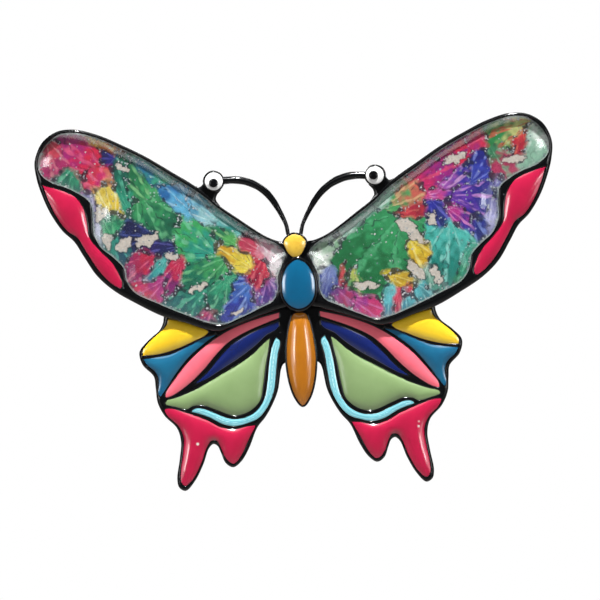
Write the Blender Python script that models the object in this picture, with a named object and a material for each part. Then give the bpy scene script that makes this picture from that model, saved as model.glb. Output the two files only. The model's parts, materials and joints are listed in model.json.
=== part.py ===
"""Butterfly brooch: an enamelled casting with domed printed wings and a riveted bar pin.

The brooch stands upright as it is worn. +Z is up, +X is to the right, and the front faces -Y.
The origin is the middle of the pin bar's outer face, which bears on the cloth.
Every size below is in millimetres.
"""

import math

import bpy
import numpy as np
from mathutils import Vector
from mathutils.geometry import delaunay_2d_cdt

MM = 0.001
SHARP_ANGLE = 40.0

# ---------------------------------------------------------------- driving sizes, mm
SPAN_SCALE = 1.0  # size of everything drawn in the front plane, against the numbers below

# depths in front of the casting's back plane
PLATE_HEIGHT = 1.6  # hindwing walls
HIND_FLOOR = 0.9
FORE_RIM_HEIGHT = 2.7
FORE_FLOOR = 1.6
MARGIN_FLOOR = 1.8
THORAX_RIM_HEIGHT = 3.4
HEAD_RIM_HEIGHT = 2.4
ABDOMEN_RIM_HEIGHT = 2.6
CELL_DEPTH = 0.8  # of the head, thorax and abdomen cells
EYE_RIM_HEIGHT = 2.0
EYE_CELL_DEPTH = 0.7
WEB_HEIGHT = 1.6
RELIEF_DEPTH = 0.9  # hollow in the back of each forewing

# fills
ENAMEL_BELOW_RIM = 0.1
HIND_RISE = 0.6
MARGIN_RISE = 0.6
HEAD_RISE = 0.5
THORAX_RISE = 0.75
ABDOMEN_RISE = 0.95
PRINT_THICKNESS = 0.2
DOME_RISE = 1.6
EYE_RISE = 0.3
PUPIL_HEIGHT = 0.16
CELL_REACH = 1.1  # how far in from its edge a small cell's fill rises
DOME_REACH = 4.2
THORAX_REACH = 2.2
HEAD_REACH = 1.3
ABDOMEN_REACH = 1.9

# rims round the three body cells
THORAX_RIM = 0.42
HEAD_RIM = 0.24
ABDOMEN_RIM = 0.26

# antennae and eyes
ANTENNA_DEPTH = 1.05
ANTENNA_SINK = 0.06  # of the antennae's backs behind the oval's own depth
HEAD_SHIFT = -0.27  # the head and the antenna roots sit this far off the axis
EYE_CENTRE = (10.83, 11.33)
EYE_RADIUS = 1.27
EYE_RING_CENTRE = (10.95, 11.35)
EYE_RING_RADIUS = 1.45
PUPIL_RADIUS = 0.56
PUPIL_OFFSET_RIGHT = (-0.2, 0.0)
PUPIL_OFFSET_LEFT = (-0.06, -0.24)

# bar pin
BAR_LENGTH = 35.0
BAR_WIDTH = 4.4
BAR_THICKNESS = 0.6
WAIST_WIDTH = 4.0
WAIST_LENGTH = 16.0  # of the bar's plain middle face
STEM_HEIGHT = 2.65  # of the stem's centre line above the bar
STEM_RADIUS = 0.4
STEM_TIP_PAST_CATCH = 2.6
STEM_POINT = [(0.0, 0.04), (0.6, 0.14), (1.6, 0.25), (3.2, 0.35)]  # (distance from the tip, radius)
STEM_POINT_LENGTH = 5.0
HINGE_INSET = 2.1  # rivet to the end of the bar
HUB_RADIUS = 1.2
HUB_LENGTH = 2.4
EAR_THICKNESS = 0.6
EAR_WALL = 0.63  # round the rivet hole
RIVET_RADIUS = 0.5
RIVET_HEAD_STANDOUT = 0.35
RIVET_HEAD_HEIGHT = 0.32
CATCH_INSET = 3.1  # middle of the catch housing to the end of the bar
CATCH_LENGTH = 2.2
HOUSING_WALL = 0.49
HOUSING_FOOT_WIDTH = 2.7
ROLLER_RADIUS = 1.6
COLLAR_STANDOUT = 0.45  # of the collar beyond the roller
COLLAR_LENGTH = 0.7
LIP_LENGTH = 0.35
LIP_STANDOUT = 0.25
TAB_STANDOUT = 1.45  # of the tab beyond the collar
TAB_WIDTH = 1.1
TAB_INSET = 0.05  # of the tab's faces from the collar's
TAB_ANGLE = -100.0  # degrees round the stem from straight back, when the slot is open

# clearances
SEAT_GAP = 0.05  # between a fill and its cell, and between soldered faces
RUNNING_CLEARANCE = 0.05  # radial, hinge hub on the rivet
RIVET_CLEARANCE = 0.02  # radial, rivet in the ears
HUB_SIDE_CLEARANCE = 0.1
ROLLER_CLEARANCE = 0.06  # radial, roller in its housing
COLLAR_CLEARANCE = 0.08  # along the stem
STEM_CLEARANCE = 0.12  # round the stem in the roller's slot
MOUTH_CLEARANCE = 0.12  # each side of the slot in the housing's mouth
RIVET_HEAD_CLEARANCE = 0.02  # under the rivet's heads

OUTLINE_TOLERANCE = 0.03
SMALL_GRID = 1.5  # spacing of the points inside a small fill
BODY_GRID = 0.9
DOME_GRID = 2.6
OVERRUN = 0.5  # how far a cutter or a joined piece runs past the face it meets

# worked out
BACK = -(BAR_THICKNESS + SEAT_GAP)  # Y of the casting's back plane
HINGE_X = BAR_LENGTH / 2 - HINGE_INSET
CATCH_X = CATCH_INSET - BAR_LENGTH / 2
COLLAR_RADIUS = ROLLER_RADIUS + COLLAR_STANDOUT
LIP_RADIUS = ROLLER_RADIUS + LIP_STANDOUT
TAB_REACH = COLLAR_RADIUS + TAB_STANDOUT
RIVET_HEAD_RADIUS = RIVET_RADIUS + RIVET_HEAD_STANDOUT
EAR_RADIUS = RIVET_RADIUS + RIVET_CLEARANCE + EAR_WALL

# ---------------------------------------------------------------- outlines, right half, (x, z) mm
# A third number 1 marks a sharp corner; every other point is passed smoothly.
FOREWING = [
    (0.3, 1.9, 1), (1.35, 2.75), (2.2, 2.87), (3.2, 3.2), (4.4, 3.8), (6.2, 5.02), (8.1, 6.42),
    (10.2, 7.95), (13.3, 10.7), (16.4, 12.75), (20.0, 15.05), (23.3, 16.8), (26.3, 18.2), (29.4, 19.05),
    (31.9, 18.85), (33.9, 17.5), (35.0, 15.1), (34.85, 12.7), (34.1, 10.1), (33.1, 7.75), (31.6, 5.4),
    (30.05, 3.85), (28.8, 1.75), (27.2, -0.8), (25.0, -2.9), (21.8, -4.9), (18.6, -6.6), (15.2, -7.75),
    (12.9, -8.6), (10.9, -8.93), (9.2, -8.4), (5.6, -7.15), (3.0, -6.35), (0.6, -5.9, 1),
]
PRINT_CELL = [
    (1.55, 1.2), (2.4, 2.35), (4.3, 3.45), (6.3, 4.72), (8.3, 6.15), (10.3, 7.6), (12.2, 9.3),
    (13.6, 10.35), (16.6, 12.35), (20.1, 14.65), (23.4, 16.4), (26.4, 17.78), (29.4, 18.6), (31.6, 18.45),
    (33.45, 17.15), (34.55, 15.1), (34.35, 13.25), (33.0, 12.05), (31.0, 11.25), (29.3, 10.35),
    (27.8, 9.1), (27.5, 7.2), (27.45, 5.0), (26.5, 2.95), (24.9, 1.55), (23.6, 0.1), (23.2, -1.8),
    (22.1, -3.35), (19.0, -4.95), (15.6, -6.5), (12.4, -7.75), (10.2, -8.05), (8.2, -7.35), (5.4, -6.1),
    (3.4, -5.05), (2.75, -3.6), (2.7, -1.9), (2.05, -0.2),
]
MARGIN = [
    (34.0, 11.65, 1), (33.4, 9.8), (32.3, 7.35), (30.9, 5.35), (29.6, 4.4), (28.4, 2.35), (26.6, -0.5),
    (24.9, -2.2), (24.0, -2.6), (23.8, -1.9), (24.3, -0.5), (25.1, 0.9), (26.7, 2.6), (28.0, 4.4),
    (28.25, 6.4), (28.65, 8.3), (29.7, 9.9), (31.4, 10.8), (32.9, 11.3),
]
HINDWING = [
    (0.5, -6.0, 1), (1.2, -13.3, 1), (2.4, -13.7), (2.8, -14.5), (3.0, -15.6), (3.3, -17.2), (4.0, -18.9),
    (5.1, -20.75), (6.3, -22.2), (7.5, -24.9), (8.6, -26.65), (9.75, -27.45), (10.75, -26.85),
    (11.35, -25.4), (11.75, -24.5), (12.3, -24.2), (12.95, -24.75), (13.8, -26.9), (15.0, -29.1),
    (16.3, -30.4), (17.15, -29.95), (17.4, -28.8), (16.95, -26.0), (16.7, -23.7), (17.15, -21.9),
    (18.8, -20.1), (19.65, -18.3), (19.85, -16.3), (20.05, -14.75), (21.5, -13.1), (21.85, -11.3),
    (20.6, -9.8), (19.05, -8.5), (18.5, -7.4), (18.35, -6.4, 1), (12.0, -5.5, 1),
]
YELLOW = [
    (12.45, -8.95), (14.0, -8.2), (16.2, -7.45), (17.8, -7.08, 1), (18.1, -7.95), (19.0, -8.8),
    (20.35, -9.95), (21.35, -11.1), (21.4, -11.85, 1), (19.3, -11.75), (16.6, -11.05), (14.3, -10.1),
    (12.9, -9.45),
]
TEAL = [
    (11.4, -9.42, 1), (12.9, -9.75), (15.0, -10.75), (17.6, -11.8), (20.0, -12.2), (21.35, -12.35, 1),
    (20.85, -13.15), (19.85, -14.1), (19.4, -15.0), (19.42, -16.2), (19.5, -17.0), (19.25, -17.45),
    (18.9, -17.1), (17.4, -14.95), (15.3, -12.4), (13.2, -10.65),
]
PINK = [
    (2.75, -6.75, 1), (5.6, -7.45), (8.2, -8.3), (10.2, -9.2), (12.6, -10.7), (15.1, -12.8),
    (17.2, -15.25), (18.45, -17.0), (18.5, -17.6), (17.7, -17.45), (15.4, -16.0), (13.3, -14.1),
    (11.4, -12.0), (9.7, -10.45), (7.3, -9.15), (4.8, -8.15), (2.8, -7.45, 1),
]
NAVY = [
    (2.85, -7.95, 1), (4.9, -8.62), (7.2, -9.6), (9.3, -10.85), (11.05, -12.55), (12.9, -14.6),
    (14.55, -15.95, 1), (13.3, -15.55), (12.0, -14.85), (10.0, -13.65), (8.0, -12.45), (6.0, -11.0),
    (4.6, -9.75), (3.3, -9.05), (2.85, -8.5),
]
SAGE = [
    (4.15, -10.2, 1), (5.0, -10.85), (6.3, -12.05), (8.1, -13.3), (10.0, -14.35), (12.0, -15.45),
    (14.4, -16.7), (17.0, -17.7), (18.45, -18.1), (18.6, -18.5), (17.4, -18.92), (15.7, -19.3),
    (14.9, -18.95), (13.6, -18.85), (12.0, -19.45), (9.5, -20.38), (7.5, -20.05), (5.9, -18.7),
    (5.3, -16.5), (4.9, -14.0), (4.4, -11.6),
]
SKY = [
    (3.3, -10.1, 1), (3.85, -11.3), (4.3, -13.4), (4.65, -16.0), (5.15, -18.3), (6.4, -20.0),
    (8.0, -20.8), (9.8, -20.88), (12.0, -20.0), (13.6, -19.35), (14.6, -19.3), (15.05, -19.65),
    (14.2, -19.95), (12.6, -20.6), (11.0, -21.5), (9.4, -21.85), (7.7, -21.55), (6.1, -20.9),
    (4.75, -19.3), (3.85, -17.2), (3.5, -14.8), (3.2, -12.5), (2.8, -10.6),
]
TAIL = [
    (6.5, -21.85, 1), (7.6, -21.95), (9.5, -22.3), (11.4, -21.85), (13.2, -20.85), (15.6, -19.9),
    (17.8, -19.2), (18.7, -19.25), (18.4, -20.1), (16.95, -21.6), (16.3, -23.2), (16.45, -25.3),
    (16.85, -27.6), (16.85, -29.2), (16.35, -29.7), (15.3, -28.9), (14.1, -26.8), (13.2, -24.55),
    (12.6, -23.75), (11.9, -23.75), (11.4, -24.5), (10.85, -25.9), (10.25, -26.7), (9.65, -26.95),
    (8.7, -26.0), (7.6, -23.9),
]
HEAD = [
    (0.0, 3.8), (1.0, 3.4), (1.48, 2.72), (1.22, 1.75), (0.6, 0.88), (0.0, 0.66),
]
THORAX = [
    (0.0, 0.34), (1.15, -0.3), (2.0, -1.75), (2.24, -3.2), (1.98, -4.85), (1.2, -5.87), (0.0, -6.33),
]
ABDOMEN = [
    (0.0, -6.88), (0.8, -7.02), (1.25, -8.0), (1.72, -10.2), (1.94, -13.1), (1.55, -16.4), (0.85, -18.4),
    (0.0, -19.38),
]
WEB = [
    (10.0, 10.15, 1), (10.6, 9.45), (10.72, 8.85), (10.15, 7.95, 1), (11.2, 8.0, 1), (13.8, 10.3, 1),
    (13.45, 10.85, 1), (12.85, 10.68), (12.45, 11.05), (12.25, 11.8, 1), (11.3, 11.4, 1),
]
RELIEF = [
    (19.5, 11.5), (24.0, 14.6), (29.5, 16.4), (32.2, 14.6), (29.5, 12.8), (25.9, 10.2), (25.0, 5.0),
    (21.0, 1.5), (17.6, 5.5),
]
ANTENNA = [
    (0.85, 3.75), (1.12, 5.1), (1.55, 6.1), (2.15, 7.25), (2.92, 8.5), (3.92, 9.68), (5.28, 10.66),
    (6.85, 11.27), (8.2, 11.45), (10.0, 11.4),
]
ANTENNA_WIDTHS = [
    0.5, 0.55, 0.66, 0.8, 0.92, 1.0, 1.04, 1.05, 1.02, 1.05,
]


# ---------------------------------------------------------------- outline geometry
def catmull_span(p0, p1, p2, p3, count):
    """Points of the centripetal Catmull-Rom curve from p1 to p2, without p2."""
    knots = [0.0]
    for a, b in ((p0, p1), (p1, p2), (p2, p3)):
        knots.append(knots[-1] + math.sqrt(np.linalg.norm(b - a)))
    t0, t1, t2, t3 = knots
    t = (t1 + (t2 - t1) * np.arange(count) / count)[:, None]
    a1 = ((t1 - t) * p0 + (t - t0) * p1) / (t1 - t0)
    a2 = ((t2 - t) * p1 + (t - t1) * p2) / (t2 - t1)
    a3 = ((t3 - t) * p2 + (t - t2) * p3) / (t3 - t2)
    b1 = ((t2 - t) * a1 + (t - t0) * a2) / (t2 - t0)
    b2 = ((t3 - t) * a2 + (t - t1) * a3) / (t3 - t1)
    return ((t2 - t) * b1 + (t - t1) * b2) / (t2 - t1)


def curve(points, closed=True):
    """A smooth curve through the points, fine enough to be thinned afterwards."""
    where = [np.array(p[:2], float) * SPAN_SCALE for p in points]
    sharp = [len(p) > 2 and p[2] == 1 for p in points]
    n = len(where)
    spans = []
    for i in range(n if closed else n - 1):
        p1, p2 = where[i], where[(i + 1) % n]
        before = closed or i > 0
        after = closed or i + 2 < n
        p0 = where[i - 1] if before and not sharp[i] else 2 * p1 - p2
        p3 = where[(i + 2) % n] if after and not sharp[(i + 1) % n] else 2 * p2 - p1
        spans.append(catmull_span(p0, p1, p2, p3, 12))
    if not closed:
        spans.append(where[-1][None])
    return np.concatenate(spans)


def thinned(line, tolerance):
    """The fewest of the line's points that keep it within the tolerance (Douglas and Peucker)."""
    keep = [0, len(line) - 1]
    stack = [(0, len(line) - 1)]
    while stack:
        i, j = stack.pop()
        if j < i + 2:
            continue
        chord = line[j] - line[i]
        length = np.linalg.norm(chord)
        rest = line[i + 1 : j] - line[i]
        if length > 1e-9:
            off = np.abs(chord[0] * rest[:, 1] - chord[1] * rest[:, 0]) / length
        else:
            off = np.linalg.norm(rest, axis=1)
        k = int(np.argmax(off))
        if off[k] > tolerance:
            keep.append(i + 1 + k)
            stack += [(i, i + 1 + k), (i + 1 + k, j)]
    return line[sorted(keep)]


def area(loop):
    """Signed area of the loop, positive when it runs anticlockwise seen from the front."""
    nxt = np.roll(loop, -1, axis=0)
    return 0.5 * float((loop[:, 0] * nxt[:, 1] - nxt[:, 0] * loop[:, 1]).sum())


def outline(points):
    """The closed outline through the points, thinned and anticlockwise."""
    line = curve(points)
    half = len(line) // 2
    first = thinned(line[: half + 1], OUTLINE_TOLERANCE)
    second = thinned(np.concatenate([line[half:], line[:1]]), OUTLINE_TOLERANCE)
    loop = np.concatenate([first[:-1], second[:-1]])
    return loop if area(loop) > 0 else loop[::-1]


def mirrored_outline(points):
    """The closed outline whose right half runs down through the points, from the axis to the axis."""
    return outline(list(points) + [(-p[0],) + tuple(p[1:]) for p in points[-2:0:-1]])


def mirrored(loop):
    return (loop * (-1, 1))[::-1]


def grown(loop, distance):
    """The loop moved outwards by the distance, with mitred corners."""
    ahead = np.roll(loop, -1, axis=0) - loop
    ahead /= np.linalg.norm(ahead, axis=1)[:, None]
    behind = np.roll(ahead, 1, axis=0)
    normal_ahead = np.stack([ahead[:, 1], -ahead[:, 0]], axis=1)
    normal_behind = np.stack([behind[:, 1], -behind[:, 0]], axis=1)
    bisector = normal_ahead + normal_behind
    bisector /= np.linalg.norm(bisector, axis=1)[:, None]
    mitre = np.clip((bisector * normal_ahead).sum(axis=1), 0.4, 1.0)
    return loop + bisector * (distance / mitre)[:, None]


def circle(centre, radius, count=32):
    turn = 2 * math.pi * np.arange(count) / count
    return np.stack([centre[0] + radius * np.cos(turn), centre[1] + radius * np.sin(turn)], axis=1)


def distance_to(loop, points):
    """Distance from each point to the loop's nearest edge."""
    start, along = loop, np.roll(loop, -1, axis=0) - loop
    rest = points[:, None] - start[None]
    share = np.clip((rest * along).sum(axis=2) / (along**2).sum(axis=1), 0, 1)
    return np.linalg.norm(rest - share[..., None] * along, axis=2).min(axis=1)


def inside(loop, points):
    """Whether each point lies inside the loop."""
    x, z = points[:, 0][:, None], points[:, 1][:, None]
    x1, z1 = loop[:, 0], loop[:, 1]
    x2, z2 = np.roll(x1, -1), np.roll(z1, -1)
    spans = (z1 > z) != (z2 > z)
    rise = np.where(z2 == z1, 1.0, z2 - z1)
    crossing = x1 + (z - z1) * (x2 - x1) / rise
    return (spans & (x < crossing)).sum(axis=1) % 2 == 1


# ---------------------------------------------------------------- scene helpers
def clear_scene():
    for obj in list(bpy.data.objects):
        bpy.data.objects.remove(obj)


def material(name, colour, metallic=0.0, roughness=0.3, alpha=1.0):
    made = bpy.data.materials.new(name)
    made.use_nodes = True
    shader = made.node_tree.nodes["Principled BSDF"]
    shader.inputs["Base Color"].default_value = (*colour, 1.0)
    shader.inputs["Metallic"].default_value = metallic
    shader.inputs["Roughness"].default_value = roughness
    shader.inputs["Alpha"].default_value = alpha
    made.diffuse_color = (*colour, alpha)
    return made


def add(name, vertices, faces, skin=None, home=None):
    """An object from vertices in mm."""
    mesh = bpy.data.meshes.new(name)
    scaled = [tuple(float(c) * MM for c in v) for v in vertices]
    mesh.from_pydata(scaled, [], [tuple(map(int, f)) for f in faces])
    mesh.update()
    obj = bpy.data.objects.new(name, mesh)
    (home or bpy.context.scene.collection).objects.link(obj)
    if skin is not None:
        mesh.materials.append(skin)
    return obj


def helper_collection(name):
    made = bpy.data.collections.new(name)
    bpy.context.scene.collection.children.link(made)
    return made


def hide(obj):
    obj.hide_render = True
    obj.display_type = "WIRE"
    return obj


def prism_data(loop, back, front):
    """Vertices and faces of an outline drawn out from Y = back to the nearer Y = front."""
    n = len(loop)
    vertices = [(x, front, z) for x, z in loop] + [(x, back, z) for x, z in loop]
    faces = [tuple(range(n)), tuple(range(2 * n - 1, n - 1, -1))]
    for i in range(n):
        j = (i + 1) % n
        faces.append((i, n + i, n + j, j))
    return vertices, faces


def prism(name, loop, back, front, skin=None, home=None):
    return add(name, *prism_data(loop, back, front), skin, home)


def fill_data(loop, back, edge, rise, reach, spacing):
    """A cast fill: flat behind, a level edge, and a crown that rises over the given reach from the edge."""
    low, high = loop.min(axis=0), loop.max(axis=0)
    rows = np.arange(low[1] + spacing / 2, high[1], spacing * math.sqrt(3) / 2)
    grid = []
    for k, z in enumerate(rows):
        xs = np.arange(low[0] + spacing * (0.25 if k % 2 else 0.75), high[0], spacing)
        grid.append(np.stack([xs, np.full(len(xs), z)], axis=1))
    grid = np.concatenate(grid)
    grid = grid[inside(loop, grid)]
    grid = grid[distance_to(loop, grid) > 0.55 * spacing]
    shoulder = grown(loop, -0.3 * reach)
    shoulder = shoulder[inside(loop, shoulder)]
    shoulder = shoulder[distance_to(loop, shoulder) > 0.27 * reach]
    points = np.concatenate([loop, shoulder, grid])
    edges = [(i, (i + 1) % len(loop)) for i in range(len(loop))]
    made = delaunay_2d_cdt([Vector(p) for p in points], edges, [], 0, 1e-5, True)
    flat = np.array([tuple(v) for v in made[0]])
    corners = np.array([tuple(f) for f in made[2]])
    corners = corners[inside(loop, flat[corners].mean(axis=1))]
    triangles = [tuple(f) for f in corners]
    depth = distance_to(loop, flat)
    share = np.clip(depth / reach, 0, 1)
    front = edge - rise * np.sqrt(1 - (1 - share) ** 2)
    front[depth < 1e-4] = edge
    n = len(flat)
    vertices = [(x, y, z) for (x, z), y in zip(flat, front)] + [(x, back, z) for x, z in flat]
    faces = list(triangles) + [(n + c, n + b, n + a) for a, b, c in triangles]
    used = {}
    for a, b, c in triangles:
        for i, j in ((a, b), (b, c), (c, a)):
            used[(i, j)] = True
    for i, j in used:
        if (j, i) not in used:
            faces.append((i, n + i, n + j, j))
    return vertices, faces


def fill(name, loop, back, edge, rise, reach, spacing, skin):
    return smooth(add(name, *fill_data(loop, back, edge, rise, reach, spacing), skin))


def lathe_data(profile, start, count=32):
    """Vertices and faces of a profile of (distance along the axis, radius) turned round the axis."""
    vertices, faces = [], []
    for along, radius in profile:
        for k in range(count):
            turn = start + 2 * math.pi * k / count
            vertices.append((along, radius * math.cos(turn), radius * math.sin(turn)))
    rings = len(profile)
    for r in range(rings - 1):
        for k in range(count):
            m = (k + 1) % count
            near, far = r * count, (r + 1) * count
            faces.append((near + k, near + m, far + m, far + k))
    faces.append(tuple(range(count - 1, -1, -1)))
    faces.append(tuple((rings - 1) * count + k for k in range(count)))
    return vertices, faces


def along_x(data, x, y, z):
    """Turns a lathe's axis onto X and moves it."""
    vertices, faces = data
    return [(a + x, b + y, c + z) for a, b, c in vertices], faces


def along_z(data, x, y, z):
    """Turns a lathe's axis onto Z and moves it."""
    vertices, faces = data
    return [(b + x, c + y, a + z) for a, b, c in vertices], faces


def block(name, low, high, skin=None, home=None):
    loop = np.array([(low[0], low[2]), (high[0], low[2]), (high[0], high[2]), (low[0], high[2])], float)
    return prism(name, loop, high[1], low[1], skin, home)


def combine(target, others, operation, name):
    """A live Boolean of the target with a collection of helpers, or with one helper."""
    modifier = target.modifiers.new(name, "BOOLEAN")
    modifier.operation = operation
    modifier.solver = "EXACT"
    if isinstance(others, bpy.types.Collection):
        modifier.operand_type = "COLLECTION"
        modifier.collection = others
    else:
        modifier.object = others
    return modifier


def smooth(obj):
    """Shades the object smooth, apart from its edges sharper than SHARP_ANGLE."""
    obj.data.shade_smooth()
    obj.data.set_sharp_from_angle(angle=math.radians(SHARP_ANGLE))
    return obj


def set_origin(obj, point):
    """Moves the object's origin to the point, in mm, and leaves its shape in place."""
    shift = Vector([c * MM for c in point])
    for vertex in obj.data.vertices:
        vertex.co -= shift
    obj.location = shift


clear_scene()

# ---------------------------------------------------------------- casting
black = material("black_lacquer", (0.012, 0.012, 0.014), 0.0, 0.12)
bosses = helper_collection("frame_bosses")
pockets = helper_collection("frame_pockets")


def y_of(height):
    """Y of a face this far in front of the casting's back plane."""
    return BACK - height


def boss(name, loop, height):
    return hide(prism(name, loop, BACK, y_of(height), home=bosses))


def pocket(name, loop, floor, rim):
    return hide(prism(name, loop, y_of(floor), y_of(rim) - OVERRUN, home=pockets))


fore = outline(FOREWING)
hind = outline(HINDWING)
thorax = mirrored_outline(THORAX)
head = mirrored_outline(HEAD) + (HEAD_SHIFT * SPAN_SCALE, 0)
abdomen = mirrored_outline(ABDOMEN)
web = outline(WEB)
relief = outline(RELIEF)
eye_radius = EYE_RADIUS * SPAN_SCALE
eye = circle(np.array(EYE_CENTRE) * SPAN_SCALE, eye_radius)
ring = circle(np.array(EYE_RING_CENTRE) * SPAN_SCALE, EYE_RING_RADIUS * SPAN_SCALE)

cast_frame = prism("cast_frame", grown(thorax, THORAX_RIM), BACK, y_of(THORAX_RIM_HEIGHT), black)
boss("head_boss", grown(head, HEAD_RIM), HEAD_RIM_HEIGHT)
boss("abdomen_boss", grown(abdomen, ABDOMEN_RIM), ABDOMEN_RIM_HEIGHT)
for side, turned in (("right", lambda loop: loop), ("left", mirrored)):
    boss("forewing_boss_" + side, turned(fore), FORE_RIM_HEIGHT)
    boss("hindwing_boss_" + side, turned(hind), PLATE_HEIGHT)
    boss("web_boss_" + side, turned(web), WEB_HEIGHT)
    boss("eye_boss_" + side, turned(ring), EYE_RIM_HEIGHT)


def antenna(name, sign):
    """A bar of oval section along the antenna's centre line, lying on the back plane."""
    middle = curve(ANTENNA, closed=False)[::8]
    share = np.linspace(0, 1, len(middle))
    middle[:, 0] = sign * middle[:, 0] + HEAD_SHIFT * SPAN_SCALE * np.clip(1 - share * 1.4, 0, 1)
    width = SPAN_SCALE * np.interp(share, np.linspace(0, 1, len(ANTENNA_WIDTHS)), ANTENNA_WIDTHS)
    tangent = np.gradient(middle, axis=0)
    tangent /= np.linalg.norm(tangent, axis=1)[:, None]
    across = np.stack([-tangent[:, 1], tangent[:, 0]], axis=1)
    count = 12
    turn = 2 * math.pi * (np.arange(count) + 0.5) / count
    half_depth = ANTENNA_DEPTH / 2
    centre_y = BACK - half_depth - ANTENNA_SINK
    vertices, faces = [], []
    for point, side_way, w in zip(middle, across, width):
        for angle in turn:
            x, z = point + side_way * (w / 2) * math.cos(angle)
            vertices.append((x, centre_y + min(half_depth, 0.55 * w + 0.1) * math.sin(angle), z))
    rings = len(middle)
    for r in range(rings - 1):
        for k in range(count):
            m = (k + 1) % count
            near, far = r * count, (r + 1) * count
            faces.append((near + k, far + k, far + m, near + m))
    faces.append(tuple(range(count)))
    faces.append(tuple((rings - 1) * count + k for k in range(count - 1, -1, -1)))
    return hide(add(name, vertices, faces, home=bosses))


antenna("antenna_bar_right", 1)
antenna("antenna_bar_left", -1)
combine(cast_frame, bosses, "UNION", "bosses")

hind_loops = {
    "yellow": outline(YELLOW),
    "teal": outline(TEAL),
    "pink": outline(PINK),
    "navy": outline(NAVY),
    "sage": outline(SAGE),
    "sky": outline(SKY),
    "tail": outline(TAIL),
}
print_loop = outline(PRINT_CELL)
margin_loop = outline(MARGIN)
for side, turned in (("right", lambda loop: loop), ("left", mirrored)):
    for name, loop in hind_loops.items():
        pocket(f"{name}_pocket_{side}", turned(loop), HIND_FLOOR, PLATE_HEIGHT)
    pocket("print_pocket_" + side, turned(print_loop), FORE_FLOOR, FORE_RIM_HEIGHT)
    pocket("margin_pocket_" + side, turned(margin_loop), MARGIN_FLOOR, FORE_RIM_HEIGHT)
    pocket("eye_pocket_" + side, turned(eye), EYE_RIM_HEIGHT - EYE_CELL_DEPTH, EYE_RIM_HEIGHT)
    relief_cut = prism(
        "relief_cut_" + side, turned(relief), BACK + OVERRUN, y_of(RELIEF_DEPTH), home=pockets
    )
    hide(relief_cut)
pocket("thorax_pocket", thorax, THORAX_RIM_HEIGHT - CELL_DEPTH, THORAX_RIM_HEIGHT)
pocket("head_pocket", head, HEAD_RIM_HEIGHT - CELL_DEPTH, HEAD_RIM_HEIGHT)
pocket("abdomen_pocket", abdomen, ABDOMEN_RIM_HEIGHT - CELL_DEPTH, ABDOMEN_RIM_HEIGHT)
combine(cast_frame, pockets, "DIFFERENCE", "pockets")

# ---------------------------------------------------------------- enamel, print and resin
ENAMELS = {
    "yellow": (0.95, 0.62, 0.03),
    "teal": (0.01, 0.12, 0.24),
    "pink": (0.95, 0.16, 0.22),
    "navy": (0.005, 0.012, 0.15),
    "sage": (0.30, 0.44, 0.18),
    "sky": (0.28, 0.72, 0.82),
    "tail": (0.60, 0.01, 0.07),
}


def seated(loop):
    return grown(loop, -SEAT_GAP)


for side, turned in (("right", lambda loop: loop), ("left", mirrored)):
    for name, loop in hind_loops.items():
        fill(
            f"{name}_enamel_{side}",
            turned(seated(loop)),
            y_of(HIND_FLOOR + SEAT_GAP),
            y_of(PLATE_HEIGHT - ENAMEL_BELOW_RIM),
            HIND_RISE,
            CELL_REACH,
            SMALL_GRID,
            material(f"{name}_enamel_{side}", ENAMELS[name], 0.0, 0.08),
        )
    fill(
        "margin_enamel_" + side,
        turned(seated(margin_loop)),
        y_of(MARGIN_FLOOR + SEAT_GAP),
        y_of(FORE_RIM_HEIGHT - ENAMEL_BELOW_RIM),
        MARGIN_RISE,
        CELL_REACH,
        SMALL_GRID,
        material("margin_enamel_" + side, (0.62, 0.01, 0.08), 0.0, 0.08),
    )
    prism(
        "wing_print_" + side,
        turned(seated(print_loop)),
        y_of(FORE_FLOOR + SEAT_GAP),
        y_of(FORE_FLOOR + SEAT_GAP + PRINT_THICKNESS),
        material("wing_print_" + side, (0.10, 0.42, 0.25), 0.0, 0.4),
    )
    fill(
        "wing_dome_" + side,
        turned(seated(print_loop)),
        y_of(FORE_FLOOR + SEAT_GAP + PRINT_THICKNESS + SEAT_GAP),
        y_of(FORE_RIM_HEIGHT - ENAMEL_BELOW_RIM),
        DOME_RISE,
        DOME_REACH,
        DOME_GRID,
        material("wing_dome_" + side, (0.9, 0.95, 0.92), 0.0, 0.03, 0.25),
    )
for name, loop, rim, rise, reach, colour in (
    ("thorax", thorax, THORAX_RIM_HEIGHT, THORAX_RISE, THORAX_REACH, (0.0, 0.13, 0.27)),
    ("head", head, HEAD_RIM_HEIGHT, HEAD_RISE, HEAD_REACH, (0.90, 0.58, 0.07)),
    ("abdomen", abdomen, ABDOMEN_RIM_HEIGHT, ABDOMEN_RISE, ABDOMEN_REACH, (0.56, 0.20, 0.01)),
):
    fill(
        name + "_enamel",
        seated(loop),
        y_of(rim - CELL_DEPTH + SEAT_GAP),
        y_of(rim - ENAMEL_BELOW_RIM),
        rise,
        reach,
        BODY_GRID,
        material(name + "_enamel", colour, 0.0, 0.08),
    )

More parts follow.
